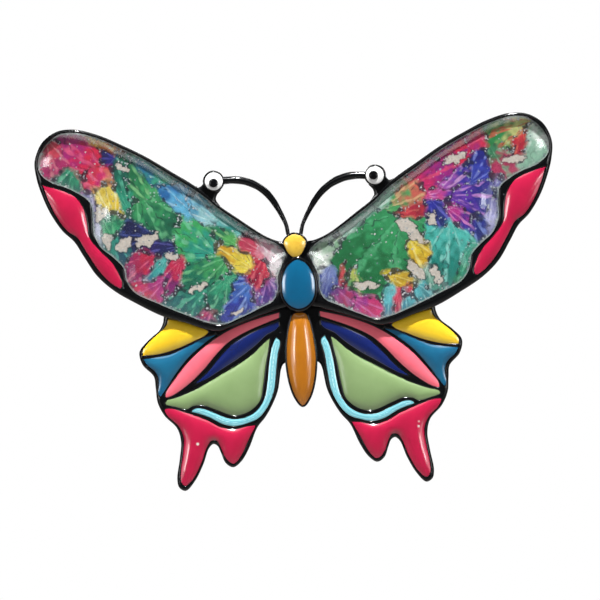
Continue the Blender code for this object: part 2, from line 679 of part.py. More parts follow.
eye_floor = EYE_RIM_HEIGHT - EYE_CELL_DEPTH
pupil_radius = PUPIL_RADIUS * SPAN_SCALE
for side, sign, offset in (("right", 1, PUPIL_OFFSET_RIGHT), ("left", -1, PUPIL_OFFSET_LEFT)):
    centre = np.array([sign * EYE_CENTRE[0], EYE_CENTRE[1]]) * SPAN_SCALE
    edge = EYE_CELL_DEPTH - ENAMEL_BELOW_RIM
    white_profile = [
        (0.0, eye_radius - SEAT_GAP),
        (edge, eye_radius - SEAT_GAP),
        (edge + 0.7 * EYE_RISE, 0.84 * eye_radius),
        (edge + EYE_RISE, 0.67 * eye_radius),
    ]
    pupil_profile = [
        (0.0, pupil_radius),
        (0.6 * PUPIL_HEIGHT, pupil_radius),
        (PUPIL_HEIGHT, 0.8 * pupil_radius),
    ]
    for name, rings, middle, base, colour in (
        ("eye_white_", white_profile, centre, eye_floor + SEAT_GAP, (0.85, 0.85, 0.84)),
        (
            "eye_pupil_",
            pupil_profile,
            centre + np.array(offset) * SPAN_SCALE,
            eye_floor + 2 * SEAT_GAP + edge + EYE_RISE,
            (0.01, 0.01, 0.01),
        ),
    ):
        vertices, faces = lathe_data(rings, 0.0, 28)
        turned_data = [(b + middle[0], y_of(base + a), c + middle[1]) for a, b, c in vertices]
        smooth(add(name + side, turned_data, faces, material(name + side, colour, 0.0, 0.1)))

# ---------------------------------------------------------------- bar pin
steel = material("bar_steel", (0.52, 0.53, 0.55), 1.0, 0.28)
fine = helper_collection("pin_helpers")

half_bar = BAR_LENGTH / 2
half_width = BAR_WIDTH / 2
END_STEPS = 8
right_arc = []
for k in range(END_STEPS + 1):
    angle = math.radians(-90 + 180 * k / END_STEPS)
    right_arc.append((half_bar - half_width + half_width * math.cos(angle), half_width * math.sin(angle)))
waist_top = [(WAIST_LENGTH / 2, WAIST_WIDTH / 2), (-WAIST_LENGTH / 2, WAIST_WIDTH / 2)]
bar_loop = right_arc + waist_top + [(-x, -z) for x, z in right_arc] + [(-x, -z) for x, z in waist_top]
count = len(bar_loop)
bar_vertices = [(x, -BAR_THICKNESS, z) for x, z in bar_loop] + [(x, 0.0, z) for x, z in bar_loop]
right_end = list(range(END_STEPS + 2)) + [count - 1]
waist = [END_STEPS + 1, END_STEPS + 2, count - 2, count - 1]
left_end = list(range(END_STEPS + 2, count - 1))
bar_faces = []
for part in (right_end, waist, left_end):
    bar_faces.append(tuple(part))
    bar_faces.append(tuple(count + i for i in reversed(part)))
for i in range(count):
    j = (i + 1) % count
    bar_faces.append((i, count + i, count + j, j))
pin_bar = add("pin_bar", bar_vertices, bar_faces, steel)

ear_inner = HUB_LENGTH / 2 + HUB_SIDE_CLEARANCE
ear_helpers = helper_collection("pin_ears")
for side, sign in (("up", 1), ("down", -1)):
    foot = -BAR_THICKNESS / 2
    profile = [(HINGE_X + EAR_RADIUS, foot)]
    for k in range(13):
        angle = math.pi * k / 12
        turn_x, turn_y = EAR_RADIUS * math.cos(angle), EAR_RADIUS * math.sin(angle)
        profile.append((HINGE_X + turn_x, STEM_HEIGHT + turn_y))
    profile.append((HINGE_X - EAR_RADIUS, foot))
    low = min(sign * ear_inner, sign * (ear_inner + EAR_THICKNESS))
    high = max(sign * ear_inner, sign * (ear_inner + EAR_THICKNESS))
    n = len(profile)
    vertices = [(x, y, high) for x, y in profile] + [(x, y, low) for x, y in profile]
    faces = [tuple(range(n)), tuple(range(2 * n - 1, n - 1, -1))]
    for i in range(n):
        j = (i + 1) % n
        faces.append((j, i, n + i, n + j))
    hide(add("ear_" + side, vertices, faces, home=ear_helpers))
combine(pin_bar, ear_helpers, "UNION", "ears")
ear_outer = ear_inner + EAR_THICKNESS


def bore_cutter(name, radius):
    """A bar along the rivet's axis that cuts a hole of the radius."""
    half = ear_outer + OVERRUN
    turned = lathe_data([(-half, radius), (half, radius)], 0.0, 24)
    return hide(add(name, *along_z(turned, HINGE_X, STEM_HEIGHT, 0.0), home=fine))


hole_cut = bore_cutter("ear_hole_cut", RIVET_RADIUS + RIVET_CLEARANCE)
combine(pin_bar, hole_cut, "DIFFERENCE", "ear_holes")

head_face = ear_outer + RIVET_HEAD_CLEARANCE
rivet_profile = [
    (-head_face - RIVET_HEAD_HEIGHT, 0.6 * RIVET_HEAD_RADIUS),
    (-head_face - 0.45 * RIVET_HEAD_HEIGHT, RIVET_HEAD_RADIUS),
    (-head_face, RIVET_HEAD_RADIUS),
    (-head_face, RIVET_RADIUS),
    (head_face, RIVET_RADIUS),
    (head_face, RIVET_HEAD_RADIUS),
    (head_face + 0.45 * RIVET_HEAD_HEIGHT, RIVET_HEAD_RADIUS),
    (head_face + RIVET_HEAD_HEIGHT, 0.6 * RIVET_HEAD_RADIUS),
]
rivet = add(
    "hinge_rivet",
    *along_z(lathe_data(rivet_profile, 0.0, 24), HINGE_X, STEM_HEIGHT, 0.0),
    material("rivet_steel", (0.6, 0.6, 0.62), 1.0, 0.22),
)
smooth(rivet)

stem_end = CATCH_X - CATCH_LENGTH / 2 - STEM_TIP_PAST_CATCH
stem_run = HINGE_X - HUB_RADIUS + OVERRUN / 2 - stem_end
stem_profile = STEM_POINT + [(STEM_POINT_LENGTH, STEM_RADIUS), (stem_run, STEM_RADIUS)]
pin_stem = add(
    "pin_stem",
    *along_z(
        lathe_data([(-HUB_LENGTH / 2, HUB_RADIUS), (HUB_LENGTH / 2, HUB_RADIUS)], 0.0, 32),
        HINGE_X,
        STEM_HEIGHT,
        0.0,
    ),
    material("stem_steel", (0.66, 0.67, 0.69), 1.0, 0.16),
)
smooth(pin_stem)
wire_data = along_x(lathe_data(stem_profile, 0.0, 16), stem_end, STEM_HEIGHT, 0.0)
stem_wire = smooth(hide(add("stem_wire", *wire_data, home=fine)))
combine(pin_stem, stem_wire, "UNION", "wire")
bore_cut = bore_cutter("hub_bore_cut", RIVET_RADIUS + RUNNING_CLEARANCE)
combine(pin_stem, bore_cut, "DIFFERENCE", "bore")


def sector(inner, outer, start, stop, steps):
    """A C-shaped loop in the (y, z) plane about the stem, between two angles in degrees from +Y."""
    angles = np.radians(np.linspace(start, stop, steps))
    out = [(outer * math.cos(a), outer * math.sin(a)) for a in angles]
    back = [(inner * math.cos(a), inner * math.sin(a)) for a in angles[::-1]]
    return out + back


def slab_along_x(name, loop, x_low, x_high, skin=None, home=None):
    """A loop in the (y, z) plane about the stem's centre line, drawn out along X."""
    n = len(loop)
    vertices = [(x, STEM_HEIGHT + y, z) for x in (x_high, x_low) for y, z in loop]
    faces = [tuple(range(n)), tuple(range(2 * n - 1, n - 1, -1))]
    for i in range(n):
        j = (i + 1) % n
        faces.append((j, i, n + i, n + j))
    return add(name, vertices, faces, skin, home)


slot_half = STEM_RADIUS + STEM_CLEARANCE
bore_radius = ROLLER_RADIUS + ROLLER_CLEARANCE
mouth = math.degrees(math.asin((slot_half + MOUTH_CLEARANCE) / bore_radius))
catch_housing = slab_along_x(
    "catch_housing",
    sector(bore_radius, bore_radius + HOUSING_WALL, mouth, 360 - mouth, 37),
    CATCH_X - CATCH_LENGTH / 2,
    CATCH_X + CATCH_LENGTH / 2,
    material("housing_steel", (0.5, 0.51, 0.53), 1.0, 0.26),
)
smooth(catch_housing)
foot_top = STEM_HEIGHT - bore_radius - HOUSING_WALL / 4
foot_low = (CATCH_X - CATCH_LENGTH / 2, SEAT_GAP, -HOUSING_FOOT_WIDTH / 2)
foot_high = (CATCH_X + CATCH_LENGTH / 2, foot_top, HOUSING_FOOT_WIDTH / 2)
housing_foot = hide(block("housing_foot", foot_low, foot_high, home=fine))
combine(catch_housing, housing_foot, "UNION", "foot")

roller_low = CATCH_X - CATCH_LENGTH / 2 - COLLAR_CLEARANCE
roller_high = CATCH_X + CATCH_LENGTH / 2 + COLLAR_CLEARANCE
roller_profile = [
    (roller_low - COLLAR_LENGTH, COLLAR_RADIUS),
    (roller_low, COLLAR_RADIUS),
    (roller_low, ROLLER_RADIUS),
    (roller_high, ROLLER_RADIUS),
    (roller_high, LIP_RADIUS),
    (roller_high + LIP_LENGTH, LIP_RADIUS),
]
catch_lever = add(
    "catch_lever",
    *along_x(lathe_data(roller_profile, 0.0, 36), 0.0, STEM_HEIGHT, 0.0),
    material("lever_steel", (0.6, 0.61, 0.63), 1.0, 0.2),
)
smooth(catch_lever)
tab_turn = math.radians(TAB_ANGLE)
tab_half = TAB_WIDTH / 2
tab_root = COLLAR_RADIUS - tab_half
tab_shape = [(tab_root, -tab_half)]
for k in range(7):
    angle = math.radians(-90 + 180 * k / 6)
    tab_shape.append((TAB_REACH - tab_half * (1 - math.cos(angle)), tab_half * math.sin(angle)))
tab_shape.append((tab_root, tab_half))
tab_cos, tab_sin = math.cos(tab_turn), math.sin(tab_turn)
tab_loop = [(y * tab_cos - z * tab_sin, y * tab_sin + z * tab_cos) for y, z in tab_shape]
tab_low = roller_low - COLLAR_LENGTH + TAB_INSET
tab = hide(slab_along_x("lever_tab", tab_loop, tab_low, roller_low - TAB_INSET, home=fine))
combine(catch_lever, tab, "UNION", "tab")
slot_end = COLLAR_RADIUS + OVERRUN
slot_loop = [(slot_end, -slot_half), (slot_end, slot_half)]
for k in range(9):
    angle = math.radians(90 + 180 * k / 8)
    slot_loop.append((slot_half * math.cos(angle), slot_half * math.sin(angle)))
slot_low, slot_high = roller_low - COLLAR_LENGTH - OVERRUN, roller_high + LIP_LENGTH + OVERRUN
slot = hide(slab_along_x("lever_slot_cut", slot_loop, slot_low, slot_high, home=fine))
combine(catch_lever, slot, "DIFFERENCE", "slot")

set_origin(pin_stem, (HINGE_X, STEM_HEIGHT, 0.0))
set_origin(catch_lever, (CATCH_X, STEM_HEIGHT, 0.0))
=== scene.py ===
"""Butterfly brooch: the visible pieces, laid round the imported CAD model.

Lengths inside the shape functions are millimetres; make() turns them into metres.
"""

import json
import math

import bpy
import numpy as np
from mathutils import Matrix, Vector
from mathutils.geometry import delaunay_2d_cdt


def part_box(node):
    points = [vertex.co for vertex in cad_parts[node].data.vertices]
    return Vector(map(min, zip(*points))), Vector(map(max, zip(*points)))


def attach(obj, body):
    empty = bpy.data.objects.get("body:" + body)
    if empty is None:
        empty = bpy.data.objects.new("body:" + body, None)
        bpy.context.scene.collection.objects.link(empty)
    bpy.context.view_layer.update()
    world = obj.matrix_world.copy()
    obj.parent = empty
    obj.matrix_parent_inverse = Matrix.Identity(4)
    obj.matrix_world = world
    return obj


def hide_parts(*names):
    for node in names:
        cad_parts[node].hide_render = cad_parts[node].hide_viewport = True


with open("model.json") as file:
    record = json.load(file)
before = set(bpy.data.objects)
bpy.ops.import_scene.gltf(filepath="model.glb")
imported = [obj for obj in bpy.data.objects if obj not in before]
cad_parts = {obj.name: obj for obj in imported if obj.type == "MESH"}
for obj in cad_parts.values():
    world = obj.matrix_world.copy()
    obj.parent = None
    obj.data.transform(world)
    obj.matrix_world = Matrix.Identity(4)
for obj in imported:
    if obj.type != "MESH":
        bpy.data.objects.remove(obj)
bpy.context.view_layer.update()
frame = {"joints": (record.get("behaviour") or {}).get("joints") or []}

# ------------------------------------------------------------------------------------------
# The casting: one zinc alloy piece with a raised tray for each forewing, thin cloisons round
# the hindwing cells, rings round the head, thorax and abdomen, two antennae and two eye
# sockets. It is cast, tumbled smooth and dipped in black lacquer, which rounds its edges.
MM = 0.001
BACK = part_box("cast_frame")[1].y / MM
OUTLINE_STEP = 0.22
BACK_BEVEL = 0.18
COARSE = 90.0  # a spacing that puts no grid point inside any outline

FOREWING = [
    (0.3, 1.9, 1), (1.35, 2.75), (2.2, 2.87), (3.2, 3.2), (4.4, 3.8), (6.2, 5.02), (8.1, 6.42),
    (10.2, 7.95), (13.3, 10.7), (16.4, 12.75), (20.0, 15.05), (23.3, 16.8), (26.3, 18.2),
    (29.4, 19.045), (31.9, 18.84), (33.9, 17.5), (34.99, 15.1), (34.85, 12.7), (34.1, 10.1),
    (33.1, 7.75), (31.6, 5.4), (30.05, 3.85), (28.8, 1.75), (27.2, -0.8), (25.0, -2.9),
    (21.8, -4.9), (18.6, -6.6), (15.2, -7.75), (12.9, -8.6), (10.9, -8.93), (9.2, -8.4),
    (5.6, -7.15), (3.0, -6.35), (0.6, -5.9, 1),
]
PRINT_CELL = [
    (1.55, 1.2), (2.4, 2.35), (4.3, 3.45), (6.3, 4.72), (8.3, 6.15), (10.3, 7.6), (12.2, 9.3),
    (13.6, 10.35), (16.6, 12.35), (20.1, 14.65), (23.4, 16.4), (26.4, 17.78), (29.4, 18.6),
    (31.6, 18.45), (33.45, 17.15), (34.55, 15.1), (34.35, 13.25), (33.0, 12.05), (31.0, 11.25),
    (29.3, 10.35), (27.8, 9.1), (27.5, 7.2), (27.45, 5.0), (26.5, 2.95), (24.9, 1.55),
    (23.6, 0.1), (23.2, -1.8), (22.1, -3.35), (19.0, -4.95), (15.6, -6.5), (12.4, -7.75),
    (10.2, -8.05), (8.2, -7.35), (5.4, -6.1), (3.4, -5.05), (2.75, -3.6), (2.7, -1.9),
    (2.05, -0.2),
]
MARGIN = [
    (34.0, 11.65, 1), (33.4, 9.8), (32.3, 7.35), (30.9, 5.35), (29.6, 4.4), (28.4, 2.35),
    (26.6, -0.5), (24.9, -2.2), (24.0, -2.6), (23.8, -1.9), (24.3, -0.5), (25.1, 0.9),
    (26.7, 2.6), (28.0, 4.4), (28.25, 6.4), (28.65, 8.3), (29.7, 9.9), (31.4, 10.8),
    (32.9, 11.3),
]
HINDWING = [
    (0.5, -6.0, 1), (1.2, -13.3, 1), (2.4, -13.7), (2.8, -14.5), (3.0, -15.6), (3.3, -17.2),
    (4.0, -18.9), (5.1, -20.75), (6.3, -22.2), (7.5, -24.9), (8.6, -26.65), (9.75, -27.45),
    (10.75, -26.85), (11.35, -25.4), (11.75, -24.5), (12.3, -24.2), (12.95, -24.75),
    (13.8, -26.9), (15.0, -29.1), (16.3, -30.4), (17.15, -29.95), (17.4, -28.8),
    (16.95, -26.0), (16.7, -23.7), (17.15, -21.9), (18.8, -20.1), (19.65, -18.3),
    (19.85, -16.3), (20.05, -14.75), (21.5, -13.1), (21.85, -11.3), (20.6, -9.8),
    (19.05, -8.5), (18.5, -7.4), (18.35, -6.4, 1), (12.0, -5.5, 1),
]
HIND_CELLS = {
    "yellow": [
        (12.45, -8.95), (14.0, -8.2), (16.2, -7.45), (17.8, -7.08, 1), (18.1, -7.95),
        (19.0, -8.8), (20.35, -9.95), (21.35, -11.1), (21.4, -11.85, 1), (19.3, -11.75),
        (16.6, -11.05), (14.3, -10.1), (12.9, -9.45),
    ],
    "teal": [
        (11.4, -9.42, 1), (12.9, -9.75), (15.0, -10.75), (17.6, -11.8), (20.0, -12.2),
        (21.35, -12.35, 1), (20.85, -13.15), (19.85, -14.1), (19.4, -15.0), (19.42, -16.2),
        (19.5, -17.0), (19.25, -17.45), (18.9, -17.1), (17.4, -14.95), (15.3, -12.4),
        (13.2, -10.65),
    ],
    "pink": [
        (2.75, -6.75, 1), (5.6, -7.45), (8.2, -8.3), (10.2, -9.2), (12.6, -10.7),
        (15.1, -12.8), (17.2, -15.25), (18.45, -17.0), (18.5, -17.6), (17.7, -17.45),
        (15.4, -16.0), (13.3, -14.1), (11.4, -12.0), (9.7, -10.45), (7.3, -9.15),
        (4.8, -8.15), (2.8, -7.45, 1),
    ],
    "navy": [
        (2.85, -7.95, 1), (4.9, -8.62), (7.2, -9.6), (9.3, -10.85), (11.05, -12.55),
        (12.9, -14.6), (14.55, -15.95, 1), (13.3, -15.55), (12.0, -14.85), (10.0, -13.65),
        (8.0, -12.45), (6.0, -11.0), (4.6, -9.75), (3.3, -9.05), (2.85, -8.5),
    ],
    "sage": [
        (4.15, -10.2, 1), (5.0, -10.85), (6.3, -12.05), (8.1, -13.3), (10.0, -14.35),
        (12.0, -15.45), (14.4, -16.7), (17.0, -17.7), (18.45, -18.1), (18.6, -18.5),
        (17.4, -18.92), (15.7, -19.3), (14.9, -18.95), (13.6, -18.85), (12.0, -19.45),
        (9.5, -20.38), (7.5, -20.05), (5.9, -18.7), (5.3, -16.5), (4.9, -14.0), (4.4, -11.6),
    ],
    "sky": [
        (3.3, -10.1, 1), (3.85, -11.3), (4.3, -13.4), (4.65, -16.0), (5.15, -18.3),
        (6.4, -20.0), (8.0, -20.8), (9.8, -20.88), (12.0, -20.0), (13.6, -19.35),
        (14.6, -19.3), (15.05, -19.65), (14.2, -19.95), (12.6, -20.6), (11.0, -21.5),
        (9.4, -21.85), (7.7, -21.55), (6.1, -20.9), (4.75, -19.3), (3.85, -17.2),
        (3.5, -14.8), (3.2, -12.5), (2.8, -10.6),
    ],
    "tail": [
        (6.5, -21.85, 1), (7.6, -21.95), (9.5, -22.3), (11.4, -21.85), (13.2, -20.85),
        (15.6, -19.9), (17.8, -19.2), (18.7, -19.25), (18.4, -20.1), (16.95, -21.6),
        (16.3, -23.2), (16.45, -25.3), (16.85, -27.6), (16.85, -29.2), (16.35, -29.7),
        (15.3, -28.9), (14.1, -26.8), (13.2, -24.55), (12.6, -23.75), (11.9, -23.75),
        (11.4, -24.5), (10.85, -25.9), (10.25, -26.7), (9.65, -26.95), (8.7, -26.0),
        (7.6, -23.9),
    ],
}
HEAD = [(0.0, 3.8), (1.0, 3.4), (1.48, 2.72), (1.22, 1.75), (0.6, 0.88), (0.0, 0.66)]
THORAX = [
    (0.0, 0.34), (1.15, -0.3), (2.0, -1.75), (2.24, -3.2), (1.98, -4.85), (1.2, -5.87),
    (0.0, -6.33),
]
ABDOMEN = [
    (0.0, -6.88), (0.8, -7.02), (1.25, -8.0), (1.72, -10.2), (1.94, -13.1), (1.55, -16.4),
    (0.85, -18.4), (0.0, -19.38),
]
WEB = [
    (10.0, 10.15, 1), (10.6, 9.45), (10.72, 8.85), (10.15, 7.95, 1), (11.2, 8.0, 1),
    (13.8, 10.3, 1), (13.45, 10.85, 1), (12.85, 10.68), (12.45, 11.05), (12.25, 11.8, 1),
    (11.3, 11.4, 1),
]
RELIEF = [
    (19.5, 11.5), (24.0, 14.6), (29.5, 16.4), (32.2, 14.6), (29.5, 12.8), (25.9, 10.2),
    (25.0, 5.0), (21.0, 1.5), (17.6, 5.5),
]
ANTENNA = [
    (0.85, 3.75), (1.12, 5.1), (1.55, 6.1), (2.15, 7.25), (2.92, 8.5), (3.92, 9.68),
    (5.28, 10.66), (6.85, 11.27), (8.2, 11.45), (10.0, 11.4),
]
ANTENNA_WIDTHS = [0.5, 0.55, 0.66, 0.8, 0.92, 1.0, 1.04, 1.05, 1.02, 1.05]
ANTENNA_DEPTH = 1.05
HEAD_SHIFT = -0.27
DIP_HEIGHT, DIP_INSET = 1.5, 0.06
EYE_CENTRE, EYE_RADIUS = (10.9, 11.34), 1.22
RING_CENTRE, RING_RADIUS = (10.95, 11.35), 1.45
HIND_TOP, HIND_FLOOR = 1.6, 0.9
FORE_TOP, FORE_FLOOR, MARGIN_FLOOR = 2.7, 1.6, 1.8
THORAX_TOP, HEAD_TOP, ABDOMEN_TOP, BODY_CELL = 3.4, 2.4, 2.6, 0.8
EYE_TOP, EYE_FLOOR = 2.0, 1.3
WEB_TOP = 1.45
THORAX_RIM, HEAD_RIM, ABDOMEN_RIM = 0.42, 0.24, 0.26
RELIEF_DEPTH, RELIEF_SLOPE = 0.9, 1.2


def between(t, low, first, high, last):
    """The straight blend that is first at t = low and last at t = high."""
    return ((high - t) * first + (t - low) * last) / (high - low)


def smooth_line(points, closed=True, step=OUTLINE_STEP):
    """Points about a step apart on the centripetal Catmull-Rom curve through the given points.

    A point whose third number is 1 is a sharp corner: the curve meets it straight on.
    """
    where = [np.array(p[:2], float) for p in points]
    sharp = [len(p) > 2 for p in points]
    n = len(where)
    spans = []
    for i in range(n if closed else n - 1):
        p1, p2 = where[i], where[(i + 1) % n]
        p0 = where[i - 1] if (closed or i > 0) and not sharp[i] else 2 * p1 - p2
        last = not closed and i + 2 >= n
        p3 = 2 * p2 - p1 if last or sharp[(i + 1) % n] else where[(i + 2) % n]
        t0, t1 = 0.0, math.sqrt(np.linalg.norm(p1 - p0))
        t2 = t1 + math.sqrt(np.linalg.norm(p2 - p1))
        t3 = t2 + math.sqrt(np.linalg.norm(p3 - p2))
        count = max(2, math.ceil(np.linalg.norm(p2 - p1) / step))
        t = (t1 + (t2 - t1) * np.arange(count) / count)[:, None]
        a1, a2, a3 = (between(t, *pair) for pair in
                      ((t0, p0, t1, p1), (t1, p1, t2, p2), (t2, p2, t3, p3)))
        b1, b2 = between(t, t0, a1, t2, a2), between(t, t1, a2, t3, a3)
        spans.append(between(t, t1, b1, t2, b2))
    if not closed:
        spans.append(where[-1][None])
    line = np.concatenate(spans)
    if not closed:
        return line
    after = np.roll(line, -1, axis=0)
    turned = (line[:, 0] * after[:, 1] - after[:, 0] * line[:, 1]).sum()
    return line if turned > 0 else line[::-1].copy()


def both_halves(points, step=OUTLINE_STEP):
    """The closed outline whose right half runs down the points, from the axis to the axis."""
    return smooth_line([*points, *[(-x, z) for x, z in points[-2:0:-1]]], step=step)


def circle(centre, radius, count=84):
    """The circle x = cx + r cos a, z = cz + r sin a, anticlockwise."""
    a = 2 * np.pi * np.arange(count) / count
    return np.stack([centre[0] + radius * np.cos(a), centre[1] + radius * np.sin(a)], axis=1)


def grown(loop, distance):
    """The loop moved out by the distance along its mitred corner normals."""
    ahead = np.roll(loop, -1, axis=0) - loop
    ahead /= np.linalg.norm(ahead, axis=1)[:, None]
    behind = np.roll(ahead, 1, axis=0)
    bisector = np.stack([ahead[:, 1] + behind[:, 1], -ahead[:, 0] - behind[:, 0]], axis=1)
    bisector /= np.linalg.norm(bisector, axis=1)[:, None]
    mitre = np.clip(bisector[:, 0] * ahead[:, 1] - bisector[:, 1] * ahead[:, 0], 0.4, 1.0)
    return loop + bisector * (distance / mitre)[:, None]


def inside(loop, points):
    """Whether a ray from each point towards +x crosses the loop an odd number of times."""
    x1, z1 = loop.T
    x2, z2 = np.roll(loop, -1, axis=0).T
    rise = np.where(z2 == z1, 1.0, z2 - z1)
    found = []
    for part in np.array_split(points, len(points) // 20000 + 1):
        x, z = part[:, :1], part[:, 1:]
        crosses = ((z1 > z) != (z2 > z)) & (x < x1 + (z - z1) * (x2 - x1) / rise)
        found.append(crosses.sum(axis=1) % 2 == 1)
    return np.concatenate(found)


def distance_to(loops, points):
    """Distance from each point to the nearest segment of the loops."""
    start = np.concatenate(loops)
    along = np.concatenate([np.roll(loop, -1, axis=0) - loop for loop in loops])
    square = (along**2).sum(axis=1)
    found = []
    for part in np.array_split(points, len(points) // 8000 + 1):
        rest = part[:, None] - start[None]
        share = np.clip((rest * along).sum(axis=2) / square, 0, 1)
        found.append(np.linalg.norm(rest - share[..., None] * along, axis=2).min(axis=1))
    return np.concatenate(found)


def filled(outer, holes, extra, spacing, clear):
    """A triangulation between the outer loop and the holes.

    Its points are the loops, the extra ones, and a triangular grid of the spacing that keeps
    clear of the loops. The loops come first, in order. Returns points and triangles.
    """

    def within(points):
        kept = inside(outer, points)
        for hole in holes:
            kept &= ~inside(hole, points)
        return kept

    low, high = outer.min(axis=0), outer.max(axis=0)
    x = np.arange(low[0], high[0] + spacing, spacing)
    z = np.arange(low[1], high[1], spacing * math.sqrt(0.75))
    grid = np.stack(np.meshgrid(x, z), axis=-1)
    grid[1::2, :, 0] -= spacing / 2
    grid = grid.reshape(-1, 2)
    loops = [outer, *holes]
    grid = grid[within(grid)]
    grid = grid[distance_to(loops, grid) > clear]
    extra = np.concatenate([np.zeros((0, 2)), *extra])
    points = np.concatenate([*loops, extra[within(extra)], grid])
    edges = []
    for loop in loops:
        first, n = len(edges), len(loop)
        edges += [(first + i, first + (i + 1) % n) for i in range(n)]
    made = delaunay_2d_cdt([Vector(p) for p in points.tolist()], edges, [], 0, 1e-6, True)
    flat, corners = np.array([tuple(v) for v in made[0]]), np.array(made[2])
    return flat, corners[within(flat[corners].mean(axis=1))]


def shoulders(loops, offsets, material):
    """Points that follow each loop at the offsets, on the side where the material is."""
    rows = []
    for loop, side in zip(loops, material):
        for offset in offsets:
            row = grown(loop, side * offset)
            rows.append(row[distance_to(loops, row) > 0.97 * offset])
    return rows


def rounded(distance, drop, radius):
    """How far a rounded edge has fallen: an ellipse of height drop and width radius."""
    return drop * (1 - np.sqrt(1 - (1 - np.clip(distance / radius, 0, 1)) ** 2))


def ramp(value, low, high):
    """0 below low, 1 above high, and a smoothstep between them."""
    share = np.clip((value - low) / (high - low), 0, 1)
    return share * share * (3 - 2 * share)


def raised(loop, depth):
    """Points (u, v) as (u, depth, v), with one depth for all or one for each."""
    return np.stack([loop[:, 0], np.broadcast_to(depth, len(loop)), loop[:, 1]], axis=1)


def ribbon(first, second, count, outward=True):
    """Quads between two rings of count points each, closed round; outward flips them."""
    i = np.arange(count)
    j = (i + 1) % count
    quads = np.stack([first + i, second + i, second + j, first + j], axis=1)
    return quads if outward else quads[:, ::-1]


def capped(rows, count):
    """Faces of a tube of rings, closed on two points that come after the last ring."""
    i = np.arange(count)
    j = (i + 1) % count
    last = (rows - 1) * count
    return [
        *[ribbon(k * count, (k + 1) * count, count, False) for k in range(rows - 1)],
        np.stack([np.full(count, rows * count), j, i], axis=1),
        np.stack([np.full(count, rows * count + 1), last + i, last + j], axis=1),
    ]


def plate(outer, cells, top, rounding, spacing, lift=0.0, relief=None, dips=()):
    """A flat casting with round-edged walls between its cells.

    Front height = top, less the outer rounding at the distance from the outline, less the
    inner rounding at the distance from the nearest cell. The back is flat with a small
    bevel; a relief loop sinks it by RELIEF_DEPTH times a smoothstep over RELIEF_SLOPE.
    cells is a list of (loop, floor height); lift keeps overlapping backs apart. The front
    is cut down to DIP_HEIGHT inside each of dips, for a fill that stands in another plate.
    """
    holes = [loop for loop, _ in cells]
    extra = shoulders([outer, *holes], (0.04, 0.11, 0.22), [-1] + [1] * len(holes))
    extra += [grown(dip, offset) for dip in dips for offset in (-0.02, 0.04)]
    flat, front = filled(outer, holes, extra, spacing, 0.3)
    height = top - rounded(distance_to([outer], flat), *rounding[0])
    if holes:
        height -= rounded(distance_to(holes, flat), *rounding[1])
    for dip in dips:
        height = np.where(inside(dip, flat), np.minimum(height, DIP_HEIGHT), height)
    vertices, faces = [raised(flat, BACK - height)], [front]
    count, last, n = len(flat), 0, len(outer)
    back = BACK - lift
    for inset, depth in ((0.0, back - 0.2), (0.05, back - 0.06), (BACK_BEVEL, back)):
        vertices.append(raised(grown(outer, -inset), depth))
        faces.append(ribbon(last, count, n))
        last = count
        count += n
    sloping = [] if relief is None else [grown(relief, d) for d in (0.0, -0.4, -0.8, -1.2)]
    behind, triangles = filled(grown(outer, -BACK_BEVEL), [], sloping, 0.7, 0.35)
    sunk = np.zeros(len(behind))
    if relief is not None:
        share = ramp(distance_to([relief], behind), 0, RELIEF_SLOPE)
        sunk = np.where(inside(relief, behind), RELIEF_DEPTH * share, 0)
    faces.append(np.where(triangles < n, triangles + last, triangles + count - n)[:, ::-1])
    vertices.append(raised(behind[n:], back - sunk[n:]))
    count += len(behind) - n
    start = n
    for loop, floor in cells:
        vertices.append(raised(loop, BACK - floor))
        faces.append(ribbon(start, count, len(loop), False))
        faces.append(filled(loop, [], [], COARSE, 1.0)[1] + count)
        start += len(loop)
        count += len(loop)
    return np.concatenate(vertices), faces


def joined(parts):
    """Several (vertices, faces) shells as one list of vertices and faces."""
    vertices, faces, count = [], [], 0
    for points, polygons in parts:
        vertices.append(points)
        faces += [polygon + count for polygon in polygons]
        count += len(points)
    return np.concatenate(vertices), faces


def mirrored(part):
    """The shell reflected in the plane x = 0, with its faces turned back outwards."""
    points, polygons = part
    return points * (-1, 1, 1), [polygon[:, ::-1] for polygon in polygons]


def make(name, part, skin, node, body="brooch", sharp=38.0, values=None):
    """The piece's object: its mesh in metres, its finish, and what it rides on and replaces."""
    points, polygons = part
    mesh = bpy.data.meshes.new(name)
    mesh.vertices.add(len(points))
    mesh.vertices.foreach_set("co", (np.asarray(points) * MM).astype(np.float32).ravel())
    corners = np.concatenate([polygon.ravel() for polygon in polygons])
    sizes = np.concatenate([np.full(len(polygon), polygon.shape[1]) for polygon in polygons])
    mesh.loops.add(len(corners))
    mesh.loops.foreach_set("vertex_index", corners.astype(np.int32))
    mesh.polygons.add(len(sizes))
    starts = np.concatenate([[0], np.cumsum(sizes)[:-1]])
    mesh.polygons.foreach_set("loop_start", starts.astype(np.int32))
    mesh.update(calc_edges=True)
    for key, value in (values or {}).items():
        plain = value.ndim == 1
        layers = mesh.attributes if plain else mesh.color_attributes
        layer = layers.new(key, "FLOAT" if plain else "FLOAT_COLOR", "POINT")
        layer.data.foreach_set("value" if plain else "color", value.astype(np.float32).ravel())
    mesh.shade_smooth()
    mesh.set_sharp_from_angle(angle=math.radians(sharp))
    mesh.materials.append(skin)
    piece = bpy.data.objects.new(name, mesh)
    bpy.context.scene.collection.objects.link(piece)
    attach(piece, body)
    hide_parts(node)


def make_pair(name, part, skin, node, values=None):
    """The piece on the right wing and its mirror image on the left one."""
    make(name + "_right", part, skin, node + "_right", values=values)
    make(name + "_left", mirrored(part), skin, node + "_left", values=values)


